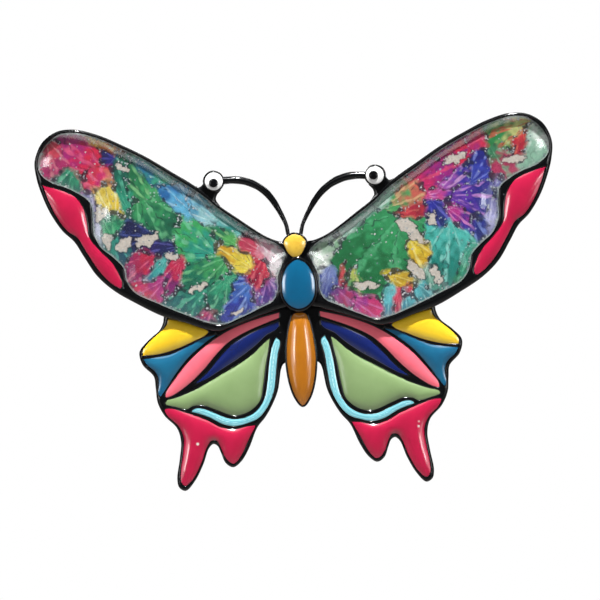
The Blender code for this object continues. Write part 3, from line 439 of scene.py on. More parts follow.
print_loop = smooth_line(PRINT_CELL)
margin_loop = smooth_line(MARGIN)
hind_loops = {name: smooth_line(points) for name, points in HIND_CELLS.items()}
head_loop = both_halves(HEAD, 0.1) + (HEAD_SHIFT, 0)
thorax_loop = both_halves(THORAX, 0.14)
abdomen_loop = both_halves(ABDOMEN, 0.16)


def antenna(sign):
    """A lacquered wire: an oval carried along the antenna's smooth centre line.

    Across it is width/2 cos a; in depth it is half the depth times sin a. Both ends close
    on the middle of their ring.
    """
    middle = smooth_line(ANTENNA, closed=False, step=0.16)
    rows, turns = len(middle), 20
    share = np.linspace(0, 1, rows)
    middle[:, 0] = sign * middle[:, 0] + HEAD_SHIFT * np.clip(1 - share * 1.4, 0, 1)
    width = np.interp(share, np.linspace(0, 1, len(ANTENNA_WIDTHS)), ANTENNA_WIDTHS)
    width *= 1 + 0.02 * np.sin(40 * share) + 0.015 * np.sin(17 * share + 1)
    tangent = np.gradient(middle, axis=0)
    tangent /= np.linalg.norm(tangent, axis=1)[:, None]
    across = np.stack([-tangent[:, 1], tangent[:, 0]], axis=1)
    a = 2 * np.pi * np.arange(turns) / turns
    half = np.minimum(ANTENNA_DEPTH / 2, 0.55 * width + 0.1)
    ring = middle[:, None] + across[:, None] * (width / 2)[:, None, None] * np.cos(a)[:, None]
    y = BACK - ANTENNA_DEPTH / 2 - 0.06 + half[:, None] * np.sin(a)
    tube = raised(ring.reshape(-1, 2), y.ravel())
    ends = tube.reshape(rows, turns, 3)[[0, -1]].mean(axis=1)
    return np.concatenate([tube, ends]), [faces[:, ::-1] for faces in capped(rows, turns)]


# Each rounding is the drop and the radius of the outer edge, then of the cells' edges.
head_seat = grown(head_loop, HEAD_RIM - DIP_INSET)
hind_plate = plate(smooth_line(HINDWING), [(loop, HIND_FLOOR) for loop in hind_loops.values()],
                   HIND_TOP, ((0.4, 0.5), (0.1, 0.22)), spacing=0.24, lift=0.03)
fore_plate = plate(smooth_line(FOREWING), [(print_loop, FORE_FLOOR), (margin_loop, MARGIN_FLOOR)],
                   FORE_TOP, ((0.45, 0.75), (0.12, 0.3)), spacing=0.26, relief=smooth_line(RELIEF),
                   dips=[head_seat, (head_seat * (-1, 1))[::-1]])
web_plate = plate(smooth_line(WEB), [], WEB_TOP, ((0.35, 0.5), (0.1, 0.2)), spacing=0.16,
                  lift=0.05)
socket_plate = plate(circle(RING_CENTRE, RING_RADIUS), [(circle(EYE_CENTRE, EYE_RADIUS), EYE_FLOOR)],
                     EYE_TOP, ((0.2, 0.2), (0.05, 0.08)), spacing=0.2, lift=0.07)
shells = []
for shell in (hind_plate, fore_plate, web_plate, socket_plate):
    shells += [shell, mirrored(shell)]
for loop, rim, top, lift in (
    (thorax_loop, THORAX_RIM, THORAX_TOP, 0.09),
    (head_loop, HEAD_RIM, HEAD_TOP, 0.11),
    (abdomen_loop, ABDOMEN_RIM, ABDOMEN_TOP, 0.06),
):
    shells.append(plate(grown(loop, rim), [(loop, top - BODY_CELL)], top,
                        ((0.3, 0.3), (0.08, 0.12)), spacing=0.3, lift=lift))
shells += [antenna(1), antenna(-1)]


def new_material(name):
    """An empty node material and its tree."""
    made = bpy.data.materials.new(name)
    made.use_nodes = True
    made.node_tree.nodes.clear()
    return made, made.node_tree


def put(tree, kind, inputs=None, **settings):
    """A node's outputs; kind may leave out ShaderNode, and an input may be a value or a link."""
    made = tree.nodes.new(kind if kind.startswith("Node") else "ShaderNode" + kind)
    for key, value in settings.items():
        setattr(made, key, value)
    for key, value in (inputs or {}).items():
        if isinstance(value, bpy.types.NodeSocket):
            tree.links.new(value, made.inputs[key])
        else:
            made.inputs[key].default_value = value
    return made.outputs


def reckoned(tree, operation, *terms):
    """The output of a Math node."""
    return put(tree, "Math", dict(enumerate(terms)), operation=operation)[0]


def mapped(tree, value, low, high, first=0.0, last=1.0):
    """The output of a Map Range node: low to high becomes first to last."""
    return put(tree, "MapRange", {"Value": value, "From Min": low, "From Max": high,
                                  "To Min": first, "To Max": last})[0]


def bumped(tree, height, strength, distance):
    """The normal of a Bump node."""
    return put(tree, "Bump", {"Height": height, "Strength": strength, "Distance": distance})[0]


def mixed(tree, factor, first, second, blend="MIX"):
    """The colour of a Mix node between two colours, each a value or a link."""
    return put(tree, "Mix", {0: factor, 6: first, 7: second}, data_type="RGBA",
               blend_type=blend)[2]


def surface(tree, inputs):
    """The Principled shader with its inputs, joined to the material's output."""
    put(tree, "OutputMaterial", {"Surface": put(tree, "BsdfPrincipled", inputs)[0]})


def new_group(name, inputs, outputs):
    """A node group with number and vector inputs, number outputs, and object coordinates."""
    group = bpy.data.node_groups.new(name, "ShaderNodeTree")
    for key, value in inputs.items():
        kind = "NodeSocketVector" if isinstance(value, tuple) else "NodeSocketFloat"
        socket = group.interface.new_socket(name=key, in_out="INPUT", socket_type=kind)
        socket.default_value = value
    for key in outputs:
        group.interface.new_socket(name=key, in_out="OUTPUT", socket_type="NodeSocketFloat")
    return group, put(group, "NodeGroupInput"), put(group, "TexCoord")["Object"]


def spotted(tree, where, scale, low, high, channel, share):
    """Round spots where a Voronoi distance is small and its cell's own number is low."""
    cell = put(tree, "TexVoronoi", {"Vector": where, "Scale": scale})
    number = put(tree, "SeparateColor", {"Color": cell["Color"]})[channel]
    return reckoned(tree, "MULTIPLY", mapped(tree, cell["Distance"], low, high, 1.0, 0.0),
                    reckoned(tree, "LESS_THAN", number, share))


def hexed(code):
    """A colour written as sRGB hex, as linear red, green, blue and 1."""
    s = np.array([int(code[i : i + 2], 16) / 255 for i in (0, 2, 4)])
    linear = np.where(s <= 0.04045, s / 12.92, ((s + 0.055) / 1.055) ** 2.4)
    return (*[float(c) for c in linear], 1.0)


def build_surface_life():
    """The node group of a poured or dipped surface.

    Cloud is a slow value noise, Specks marks pinholes and dust, and Height is orange peel
    plus the specks.
    """
    group, taken, where = new_group(
        "poured_surface",
        {"Cloud Scale": 200.0, "Peel Scale": 900.0, "Speck Scale": 500.0, "Speck Share": 0.1},
        ("Cloud", "Specks", "Height"))
    cloud = put(group, "TexNoise", {"Vector": where, "Scale": taken["Cloud Scale"],
                                    "Detail": 3.0, "Roughness": 0.55})["Fac"]
    peel = put(group, "TexNoise", {"Vector": where, "Scale": taken["Peel Scale"],
                                   "Detail": 2.0, "Roughness": 0.4})["Fac"]
    specks = spotted(group, where, taken["Speck Scale"], 0.1, 0.22, "Red", taken["Speck Share"])
    put(group, "NodeGroupOutput", {"Cloud": cloud, "Specks": specks,
                                   "Height": reckoned(group, "MULTIPLY_ADD", specks, 0.6, peel)})
    return group


POURED = build_surface_life()


def poured(tree, cloud, peel, speck, share):
    """The poured surface group in a material, with this material's own scales."""
    return put(tree, "Group", {"Cloud Scale": cloud, "Peel Scale": peel, "Speck Scale": speck,
                               "Speck Share": share}, node_tree=POURED)


def black_lacquer():
    """Black stoving lacquer: almost black, glossy, with faint orange peel and dust."""
    made, tree = new_material("black_lacquer")
    life = poured(tree, 260.0, 1500.0, 1100.0, 0.035)
    surface(tree, {
        "Base Color": mixed(tree, life["Specks"], hexed("08090B"), hexed("3B3D40")),
        "Roughness": mapped(tree, life["Cloud"], 0.0, 1.0, 0.07, 0.2),
        "Normal": bumped(tree, life["Height"], 0.2, 0.00004), "IOR": 1.5,
    })
    return made


make("casting", joined(shells), black_lacquer(), "cast_frame")

# ------------------------------------------------------------------------------------------
# Soft enamel in the hindwing cells: pigmented epoxy dropped into each cell with a needle,
# where it settles into a smooth dome held by its own surface tension, then oven cured.
ENAMEL_BELOW_RIM = 0.08
SEAT, FILL_GAP = 0.01, 0.02
HIND_RISE, HIND_REACH = 0.6, 0.85
# Each cell's body colour, then the darker colour used for its random drift and for the painted shade
# against its wall.
ENAMEL_COLOURS = {
    "yellow": ("FFD62E", "F0B61C"),
    "teal": ("1B6A8E", "0E4A74"),
    "pink": ("FF7585", "E8586E"),
    "navy": ("0C2066", "081444"),
    "sage": ("8CA771", "7C9860"),
    "sky": ("7CCBD8", "58B4C8"),
    "tail": ("C41A46", "A60F38"),
}


def settled(flat, triangles, edge_count, rise, reach):
    """Height of a liquid surface that is pinned at its edge.

    Solves h - reach^2 * laplacian(h) = rise with h = 0 on the first edge_count points, with
    cotangent weights on the triangles, by conjugate gradients.
    """
    n = len(flat)
    tails, heads, weights = [], [], []
    mass = np.zeros(n)
    for k in range(3):
        a, b, c = (triangles[:, (k + m) % 3] for m in range(3))
        u, v = flat[b] - flat[a], flat[c] - flat[a]
        cross = np.maximum(np.abs(u[:, 0] * v[:, 1] - u[:, 1] * v[:, 0]), 1e-9)
        tails.append(b)
        heads.append(c)
        weights.append(0.5 * (u * v).sum(axis=1) / cross)
        mass += np.bincount(a, cross / 6, n)
    tails, heads, weights = (np.concatenate(part) for part in (tails, heads, weights))
    free = np.arange(n) >= edge_count

    def pulled(h):
        flow = reach**2 * weights * (h[tails] - h[heads])
        return (mass * h + np.bincount(tails, flow, n) - np.bincount(heads, flow, n)) * free

    spread = np.bincount(tails, weights, n) + np.bincount(heads, weights, n)
    diagonal = np.maximum(mass + reach**2 * spread, 1e-9)
    h = np.zeros(n)
    left = mass * rise * free
    step = left / diagonal
    energy = left @ step
    for _ in range(400):
        push = pulled(step)
        share = energy / max(step @ push, 1e-30)
        h += share * step
        left -= share * push
        ready = left / diagonal
        new_energy = left @ ready
        if new_energy < 1e-14:
            break
        step = ready + new_energy / energy * step
        energy = new_energy
    return h


def backed(seat, flat, front, depth, back):
    """A front surface at its own depths, a wall from its edge to back, and a flat back."""
    behind = filled(seat, [], [], COARSE, 1.0)[1][:, ::-1] + len(flat)
    return (np.concatenate([raised(flat, depth), raised(seat, BACK - back)]),
            [front, ribbon(0, len(flat), len(seat)), behind])


def poured_fill(loop, back, edge, rise, reach, spacing, swell=None):
    """A fill: the settled surface in front, a short wall, and a flat back.

    back and edge are heights in front of the casting's back. Returns the shell and the
    distance of its front points from the edge.
    """
    seat = grown(loop, -SEAT)
    flat, front = filled(seat, [], shoulders([seat], (0.05, 0.14), [-1]), spacing, 0.22)
    height = settled(flat, front, len(seat), rise, reach)
    if swell is not None:
        height = height * (1 + swell(flat))
    return backed(seat, flat, front, BACK - edge - height, back), distance_to([seat], flat)


def with_wall(values, shell):
    """Front values, followed by zeros for every other point of the shell."""
    return np.concatenate([values, np.zeros(len(shell[0]) - len(values))])


def thickness(depth, shell, gain=1.0):
    """The attribute that is 0 at a cell's wall and 1 in its middle."""
    return {"thickness": with_wall(np.clip(depth * gain, 0, 1), shell)}


def enamel(name, body_hex, shade_and_drift_hex, streaks=0.0, index=1.9):
    """Gloss enamel: its pigment drifts in slow clouds, a painted shade darkens it against the wall,
    and painted reflections can lay pale streaks along it.
    """
    made, tree = new_material(name)
    life = poured(tree, 330.0, 420.0, 900.0, 0.02)
    thick = put(tree, "Attribute", attribute_name="thickness")["Fac"]
    # Painted shade: the colour turns darker towards the cell's wall.
    near = mapped(tree, thick, 0.0, 0.22, 0.55, 0.0)
    drift = mapped(tree, life["Cloud"], 0.35, 0.75, 0.0, 0.5)
    both = reckoned(tree, "MAXIMUM", near, drift)
    shade = mixed(tree, both, hexed(body_hex), hexed(shade_and_drift_hex))
    # Painted reflections: pale streaks that run along the cell at set distances from its wall.
    if streaks:
        lines = reckoned(tree, "MULTIPLY_ADD", thick, 30.0, 4.0)
        line = reckoned(tree, "SINE", reckoned(tree, "MULTIPLY_ADD", life["Cloud"], 9.0, lines))
        shade = mixed(tree, mapped(tree, line, 0.2, 1.0, 0.0, streaks), shade, hexed("C9F1F2"))
    surface(tree, {
        "Base Color": mixed(tree, life["Specks"], shade, hexed("E8E6E0")),
        "Roughness": mapped(tree, life["Cloud"], 0.0, 1.0, 0.1, 0.22),
        "Normal": bumped(tree, life["Height"], 0.06, 0.00003), "IOR": index,
        "Coat Weight": 0.25,
    })
    return made


for cell, loop in hind_loops.items():
    shell, depth = poured_fill(loop, HIND_FLOOR + FILL_GAP, HIND_TOP - ENAMEL_BELOW_RIM,
                               HIND_RISE, HIND_REACH, spacing=0.24)
    name = cell + "_enamel"
    # Only the sky cell gets the painted reflection streaks.
    skin = enamel(name, *ENAMEL_COLOURS[cell], 0.7 if cell == "sky" else 0.0)
    make_pair(cell, shell, skin, name, thickness(depth, shell))

# ------------------------------------------------------------------------------------------
# The wing margins: a deeper crimson cell along each forewing's outer edge, filled with the
# same enamel, and rising higher because its walls do.
MARGIN_RISE, MARGIN_REACH = 0.62, 1.0
shell, depth = poured_fill(margin_loop, MARGIN_FLOOR + FILL_GAP, FORE_TOP - ENAMEL_BELOW_RIM,
                           MARGIN_RISE, MARGIN_REACH, spacing=0.24)
make_pair("margin", shell, enamel("margin_enamel", "C41A46", "A00E3A"),
          "margin_enamel", thickness(depth, shell))

# ------------------------------------------------------------------------------------------
# The printed films: thin polyester sheets, printed with a collage of butterfly wings, petals
# and glitter, and laid in the forewing trays before the resin is cast over them.
PRINT_HEIGHT = FORE_FLOOR + 0.25
PRINT_STEP, FILM_GAP = 0.1, 0.03
INK = "131830"
CREAM = "E6DCD0"
# A petal is a territory of the collage: its centre, half length, half width and heading in
# degrees, then its colour at the root and at the tip, the colour of its streaks, and how
# strongly dark veins show. Every point belongs to the petal it lies deepest in.
RIGHT_PETALS = [
    (10.4, 1.9, 4.7, 3.5, 226, "38A566", "1C7A45", "5CC086", 0.9),
    (7.6, 4.9, 4.2, 1.0, 38, "CDE8DC", "93CDB8", "E6F6F0", 0.2),
    (12.4, 8.3, 2.6, 0.9, 42, "B4DCCA", "7CBEA0", "E4F4EC", 0.3),
    (14.8, 8.7, 3.1, 1.6, 34, "4FA964", "E06E5E", "EBCB96", 0.8),
    (15.6, 6.3, 2.2, 0.8, 6, "DB3A4A", "B52842", "EE7468", 0.5),
    (18.4, 11.4, 3.0, 1.9, 28, "D8246C", "A4228E", "F2527A", 0.6),
    (21.6, 14.3, 3.0, 1.7, 24, "C6287E", "E2264E", "8A2E9C", 0.6),
    (24.6, 15.6, 2.0, 1.5, 200, "E23052", "B4247A", "F06486", 0.5),
    (28.5, 16.7, 3.4, 1.7, 196, "CBD184", "2C8C4C", "E8644E", 0.9),
    (30.8, 15.4, 1.5, 1.0, 262, "E23C46", "C22440", "F07C64", 0.6),
    (33.0, 15.4, 2.1, 1.5, 250, "EAF2EA", "9ACAB0", "D2E8DC", 0.4),
    (27.4, 13.0, 1.6, 1.3, 300, "3F8E62", "C03A66", "88C4A0", 0.6),
    (21.8, 10.2, 3.2, 1.0, 36, "C264C8", "3D2EA4", "F0B8EA", 0.5),
    (24.9, 12.2, 2.2, 1.3, 66, "3A48BC", "20228A", "8A9AE8", 0.6),
    (19.9, 8.6, 2.0, 0.9, 8, "E04A9A", "6A2EAC", "F2A4D8", 0.5),
    (23.9, 8.0, 2.9, 1.5, -6, "6C36B6", "1C2294", "DC9AE6", 0.7),
    (22.6, 5.2, 2.7, 1.0, -34, "CB3A9A", "4A2AA6", "F294CE", 0.6),
    (19.2, 5.9, 1.9, 1.2, -62, "2A30A4", "25347E", "7272DA", 0.6),
    (24.6, 4.0, 1.5, 1.0, -60, "3040B0", "1C2A86", "8AA0E6", 0.5),
    (20.3, 0.9, 3.5, 2.1, 262, "56CABE", "178E80", "98E6DA", 0.9),
    (22.8, -1.6, 2.4, 1.1, 252, "34AE92", "1B8456", "72D2AC", 0.8),
    (16.6, 1.0, 2.0, 1.2, -52, "F8DE42", "E2B628", "FDEE90", 1.0),
    (13.4, -2.6, 2.3, 0.7, -20, "F2D63A", "D8AE28", "FBEA84", 0.9),
    (18.0, -2.6, 1.6, 1.0, -80, "9CC8B4", "4E9C88", "D8EAE0", 0.6),
    (14.6, -4.6, 1.2, 0.6, 250, "E2405E", "AE2450", "F28A98", 0.5),
    (13.4, -6.2, 1.7, 0.45, 266, "DC3C60", "B02450", "F08A98", 0.4),
    (12.1, -5.8, 1.9, 0.55, 262, "6ED0D8", "3C9CB2", "AEE8EA", 0.5),
    (14.7, -6.0, 1.7, 0.6, 276, "62C6D0", "3490A6", "A6E4E6", 0.5),
    (17.0, -4.8, 1.6, 0.8, -50, "56BCC4", "2C8C98", "9CDEE0", 0.5),
    (9.0, -6.0, 2.1, 0.9, -24, "A63496", "D62E76", "E07CBC", 0.6),
    (5.9, -4.6, 1.5, 0.9, -44, "7E3C90", "BC326A", "CC7CB4", 0.6),
    (4.3, -2.6, 1.6, 0.9, 262, "8090CE", "3A4A9E", "AAB6E2", 0.6),
    (6.1, -2.0, 1.9, 0.42, 264, "DA4454", "B82A46", "F08478", 0.4),
    (7.7, -2.3, 1.9, 0.8, 278, "D2D46A", "4CA052", "ECE69C", 1.0),
    (3.7, 1.2, 1.9, 1.1, 54, "EDF1EA", "A6C8AC", "C4DCC6", 0.4),
    (5.6, 2.9, 1.3, 0.8, 250, "D8E0CE", "8EBE96", "ECEFE4", 0.5),
    (26.6, 5.6, 3.6, 0.62, 78, "B4B2E0", "8480C4", "E2E0F6", 0.2),
]
RIGHT_BLOTS = [
    (15.4, 3.9, 2.7, 0.8, -44), (18.3, 5.2, 0.8, 0.9, 10), (21.6, 13.1, 1.5, 0.75, 22),
    (29.8, 12.9, 1.3, 0.6, 8), (9.0, -3.6, 1.9, 0.5, 0), (15.9, -1.6, 1.6, 0.7, -50),
    (18.7, -2.4, 0.7, 1.3, 14),
]
LEFT_PETALS = [
    (28.8, 15.6, 3.4, 2.0, 42, "E2264E", "B4247E", "F4648E", 0.8),
    (26.6, 12.6, 2.2, 1.4, 60, "D42A78", "E83A52", "F47CA0", 0.6),
    (32.4, 15.4, 2.2, 1.5, 250, "E04A60", "B8306E", "F4A0A8", 0.5),
    (26.0, 17.4, 1.8, 0.9, 215, "F6C83C", "EE8432", "FCE890", 0.8),
    (25.4, 15.0, 0.95, 0.95, 0, "2A2684", "16163E", "5A50B8", 0.3),
    (30.6, 12.4, 1.6, 1.2, 300, "2FA078", "1A705E", "7CD4AC", 0.6),
    (25.6, 10.2, 3.4, 1.2, 74, "F4D23E", "F4E47C", "FFF6BE", 1.0),
    (23.2, 11.2, 2.7, 1.0, 78, "2AA080", "136654", "68CCAA", 0.8),
    (21.0, 10.6, 2.9, 1.5, 50, "4CB872", "1B7A4C", "94DA94", 0.9),
    (18.6, 12.4, 2.2, 1.0, 30, "3FAE88", "2376A0", "90DCC8", 0.7),
    (16.4, 9.4, 2.7, 1.4, 42, "6AC0E6", "2C78BE", "B4E2F6", 1.0),
    (12.8, 7.6, 2.5, 1.0, 40, "A8DCE0", "5AA8C8", "DDF4F6", 0.6),
    (9.8, 5.9, 2.5, 0.9, 38, "3CA8A0", "7CCAC8", "B8E8E2", 0.6),
    (25.0, 6.2, 1.8, 1.2, 84, "3FAE78", "1C7660", "7CD4A0", 0.8),
    (27.2, 7.2, 2.4, 0.7, 80, "C8CAE2", "9A92C8", "EDEAF6", 0.2),
    (21.5, 4.7, 2.3, 1.2, 10, "28306E", "171C48", "5060B0", 0.9),
    (18.4, 2.7, 1.9, 1.0, 0, "202A62", "2C2466", "6060B4", 0.8),
    (18.8, 7.3, 3.7, 2.1, 232, "3EA868", "187050", "7AD498", 1.0),
    (24.4, 2.4, 1.8, 1.1, 260, "2B9886", "17566C", "62C8BA", 0.7),
    (21.2, 0.4, 2.4, 1.1, -36, "CE2A50", "9C2468", "F07090", 0.7),
    (19.2, -0.6, 2.0, 0.7, -50, "4CBCB4", "26869A", "92E0D8", 0.6),
    (20.2, -3.0, 2.4, 1.2, -30, "B83688", "D63C60", "E88ABA", 0.7),
    (16.9, -1.2, 1.9, 1.0, -60, "D22E56", "8E2478", "F07C98", 0.6),
    (14.0, 3.4, 3.4, 1.8, 34, "2CA690", "42B466", "84D8B0", 1.0),
    (12.2, -0.6, 3.0, 1.5, -30, "46AE66", "1B7E60", "80D294", 0.9),
    (14.8, -4.6, 2.4, 1.2, -34, "2E967C", "186A6C", "6ACCA8", 0.8),
    (11.0, -4.0, 2.2, 1.2, -58, "38A67C", "1E7A64", "84D8AC", 0.8),
    (7.6, -4.4, 2.2, 1.3, -54, "4A7CD0", "2E3CA2", "94B2EA", 0.9),
    (12.6, -7.0, 1.4, 0.7, 300, "C83A66", "7A2A84", "EC8AA8", 0.5),
    (8.8, 1.0, 2.8, 1.1, 32, "F6DE4E", "E4B02A", "FFF294", 1.0),
    (9.6, 3.8, 2.0, 0.8, 36, "5CBA64", "2A8C5C", "A8E098", 0.7),
    (5.4, -1.4, 2.8, 1.1, -66, "DE2E4C", "AC2048", "F47480", 0.8),
    (6.4, 2.5, 1.7, 0.8, 30, "E0506E", "C83A5A", "F6A0AC", 0.6),
    (3.6, 0.9, 1.8, 1.2, 50, "FBEFF2", "E8AEC0", "FFFFFF", 0.3),
    (4.2, -3.6, 1.2, 0.8, 270, "8C4A9C", "5A3A94", "C894D0", 0.5),
]
LEFT_BLOTS = [
    (20.2, 3.7, 1.7, 0.8, -24), (23.4, 3.2, 1.3, 0.7, -30), (26.4, 7.4, 0.9, 0.9, 0),
    (16.9, 1.3, 0.9, 0.6, 0), (25.6, 3.9, 0.6, 1.0, -10), (13.6, -3.0, 1.3, 0.5, -20),
    (8.4, -6.4, 1.0, 0.4, -30), (23.2, 13.6, 0.9, 0.5, 30),
]
SHOW_THROUGH = 0.74
GOLDEN_ANGLE = 2.399963
# A petal's root lies this many half lengths behind its centre.
PETAL_ROOT = 1.25
FLAKE_SCALE = 5200.0


def wave(x, z, scale, seed):
    """A smooth value, mostly from -1 to 1: a third of the sum of six waves, each turned."""
    total = np.zeros_like(x)
    for k in range(6):
        turn = seed * 1.7 + k * GOLDEN_ANGLE
        reach = 2 * math.pi * (0.6 + 0.35 * k) / scale
        total += np.sin((x * math.cos(turn) + z * math.sin(turn)) * reach + seed * 5.1 + k * 1.3)
    return total / 3


def chance(i, j, seed):
    """A number from 0 to 1 that jumps from cell to cell: the fraction of a large sine."""
    return np.abs(np.sin(i * 127.1 + j * 311.7 + seed * 74.7) * 43758.5453) % 1


def dots(x, z, spacing, size, share, seed):
    """Round dots, at most one in each square cell, at a random place and of a random size."""
    i, j = np.floor(x / spacing), np.floor(z / spacing)
    place_x = (i + 0.3 + 0.4 * chance(i, j, seed)) * spacing
    place_z = (j + 0.3 + 0.4 * chance(i, j, seed + 1)) * spacing
    radius = size * (0.6 + 0.6 * chance(i, j, seed + 2))
    there = chance(i, j, seed + 3) < share
    return ramp(radius + 0.04 - np.hypot(x - place_x, z - place_z), 0.0, 0.08) * there


def paint(canvas, colour, cover):
    """Lays a colour, as hex or as one for each point, over the canvas by its cover."""
    colour = np.array(hexed(colour)[:3]) if isinstance(colour, str) else colour
    return canvas + (colour - canvas) * cover[:, None]


def headed(x, z, heading):
    """Distances along and across a heading in degrees."""
    turn = math.radians(heading)
    return x * math.cos(turn) + z * math.sin(turn), z * math.cos(turn) - x * math.sin(turn)


def petal(x, z, patch, seed):
    """One petal's colours, with streaks and veins that fan out of its root.

    With r and a the polar coordinates round the root, colour runs from root to tip with r;
    streaks and veins are waves of a, broken up by slow waves of the place.
    """
    centre_x, centre_z, long, short, heading, near, far, streak, veins = patch
    along, across = headed(x - centre_x, z - centre_z, heading)
    along += PETAL_ROOT * long
    r, a = np.hypot(along, across), np.arctan2(across, along) * long / short
    blur = wave(x, z, 2.4, seed)
    body = paint(np.array(hexed(near)[:3]), far, ramp(r / (2.2 * long) + 0.22 * blur, 0.25, 0.85))
    fibres = np.sin(a * 8.5 + 0.7 * wave(x, z, 3.8, seed + 3) + seed) + 0.4 * np.sin(a * 21 + blur)
    body = paint(body, streak, 0.75 * ramp(fibres + 0.6 * blur, 0.35, 1.25))
    cracks = np.abs(np.sin(a * 4.6 + 0.45 * wave(x, z, 2.8, seed + 5)))
    dark = ramp(0.17 - cracks, 0.0, 0.14) * ramp(wave(x, z, 2.3, seed + 6), -0.5, 0.2)
    return paint(body, INK, np.clip(0.8 * veins * dark, 0, 1))


def collage(flat, depth, petals, blots, seed):
    """The printed colour and the glitter at each point of the film.

    Petal k scores the length of (u / long, v / short), roughened by waves. The lowest score
    owns the point, and where the two lowest are close a dark seam runs, dusted with dots.
    """
    x, z = flat.T
    warp_x = x + 0.24 * wave(x, z, 3.2, seed) + 0.08 * wave(x, z, 1.0, seed + 1)
    warp_z = z + 0.24 * wave(x, z, 2.9, seed + 2) + 0.08 * wave(x, z, 1.1, seed + 3)

    def score(patch):
        along, across = headed(warp_x - patch[0], warp_z - patch[1], patch[4])
        return np.hypot(along / patch[2], across / patch[3])

    scores = np.array([score(patch) for patch in petals])
    bodies = np.array([petal(x, z, patch, seed + 1.7 * k) for k, patch in enumerate(petals)])
    order = np.argsort(scores, axis=0)[:2]
    every = np.arange(len(x))
    first, second = scores[order, every]
    gap = (second - first) * np.array([min(patch[2:4]) for patch in petals])[order[0]]
    base = paint(*bodies[order, every], 0.5 * ramp(0.5 - gap, 0.0, 0.5))
    tone = 1 + 0.07 * wave(x, z, 0.9, seed + 4) + 0.12 * wave(x, z, 2.4, seed + 5)
    base = base * np.clip(tone, 0.6, 1.35)[:, None]
    seam_width = 0.13 + 0.5 * ramp(wave(x, z, 2.6, seed + 6), -0.3, 0.7)
    seam = ramp(seam_width - gap, -0.05, 0.2) * ramp(wave(x, z, 3.7, seed + 7), -0.75, -0.1)
    base = paint(base, INK, 0.85 * seam)
    beads = 0.03 + 0.35 * seam
    for k, blot in enumerate(blots):
        ragged = 0.2 * wave(x, z, 1.5, seed + k) + 0.1 * wave(x, z, 0.6, seed + k + 0.5)
        ragged += score(blot)
        base = paint(base, INK, 0.7 * ramp(1.25 - ragged, 0.0, 0.22))
        tone = (0.9 + 0.1 * wave(x, z, 0.8, seed + k + 2))[:, None]
        base = paint(base, hexed(CREAM)[:3] * tone, ramp(1.0 - ragged, 0.0, 0.18))
        beads = np.where(ragged < 1, 0.1, beads)
    sown = dots(x, z, 0.47, 0.105, 0.42, seed) * ramp(0.5 - gap, 0.0, 0.2)
    sown = np.maximum(sown, dots(x, z, 0.62, 0.09, 0.05, seed + 9))
    base = paint(base, "DCEAF0", 0.8 * sown * ramp(wave(x, z, 3.1, seed + 8), -0.2, 0.3))
    frost = ramp(0.45 - depth + 0.2 * wave(x, z, 1.1, seed + 9), 0.0, 0.4)
    base = paint(base, "5E8C80", 0.3 * frost)
    base = paint(base, "10201C", 0.6 * frost * ramp(wave(x, z, 0.5, seed + 10), 0.1, 0.5))
    base = paint(base, "C4D2CC", 0.75 * ramp(0.2 - depth, 0.0, 0.14))
    return np.clip(base, 0, 1) * SHOW_THROUGH, np.clip(np.maximum(beads, 0.9 * frost), 0, 1)


def film():
    """Printed film: the painted colour under a glittery varnish.

    Glitter flakes are Voronoi cells picked by their own number where the beads attribute
    is high; each turns its normal a little, so some flash and most don't.
    """
    made, tree = new_material("printed_film")
    where = put(tree, "TexCoord")["Object"]
    colour = put(tree, "Attribute", attribute_name="painted")["Color"]
    beads = put(tree, "Attribute", attribute_name="beads")["Fac"]
    grain = put(tree, "TexNoise", {"Vector": where, "Scale": FLAKE_SCALE, "Detail": 2.0})["Fac"]
    inky = mixed(tree, 1.0, colour, mapped(tree, grain, 0.25, 0.75, 0.88, 1.06), "MULTIPLY")
    flakes = put(tree, "TexVoronoi", {"Vector": where, "Scale": FLAKE_SCALE})
    number = put(tree, "SeparateColor", {"Color": flakes["Color"]})
    flash = reckoned(tree, "LESS_THAN", number["Red"], reckoned(tree, "MULTIPLY", beads, 0.34))
    silver = mixed(tree, number["Green"], hexed("8FA8B0"), hexed("FFFFFF"))
    surface(tree, {
        "Base Color": mixed(tree, flash, inky, silver), "IOR": 1.45,
        "Roughness": mapped(tree, flash, 0.0, 1.0, 0.45, 0.2),
        "Metallic": reckoned(tree, "MULTIPLY", flash, 0.5),
        "Normal": bumped(tree, reckoned(tree, "MULTIPLY", flakes["Distance"], flash), 0.5, 0.00008),
    })
    return made


film_skin = film()
seat = grown(print_loop, -FILM_GAP)
film_flat, film_front = filled(seat, [], [], PRINT_STEP, 0.05)
film_depth = distance_to([seat], film_flat)
film_shell = backed(seat, film_flat, film_front, BACK - PRINT_HEIGHT, FORE_FLOOR + FILM_GAP)
for side, part, petals, blots, seed in (
    ("right", film_shell, RIGHT_PETALS, RIGHT_BLOTS, 1.0),
    ("left", mirrored(film_shell), LEFT_PETALS, LEFT_BLOTS, 40.0),
):
    colour, beads = collage(film_flat, film_depth, petals, blots, seed)
    colour = np.column_stack([colour, np.ones(len(colour))])
    colour = np.concatenate([colour, np.tile(hexed("E8E8E4"), (len(seat), 1))])
    make("printed_film_" + side, part, film_skin, "wing_print_" + side,
         values={"painted": colour, "beads": with_wall(beads, film_shell)})

# ------------------------------------------------------------------------------------------
# The resin domes: clear epoxy cast over each printed film. It wets the tray's wall and
# stands up in a broad lens, thickest along the middle of the wing.
DOME_GAP, DOME_RISE, DOME_REACH, DOME_SAG, DOME_SWELL = 0.05, 1.87, 2.6, -0.06, 0.02


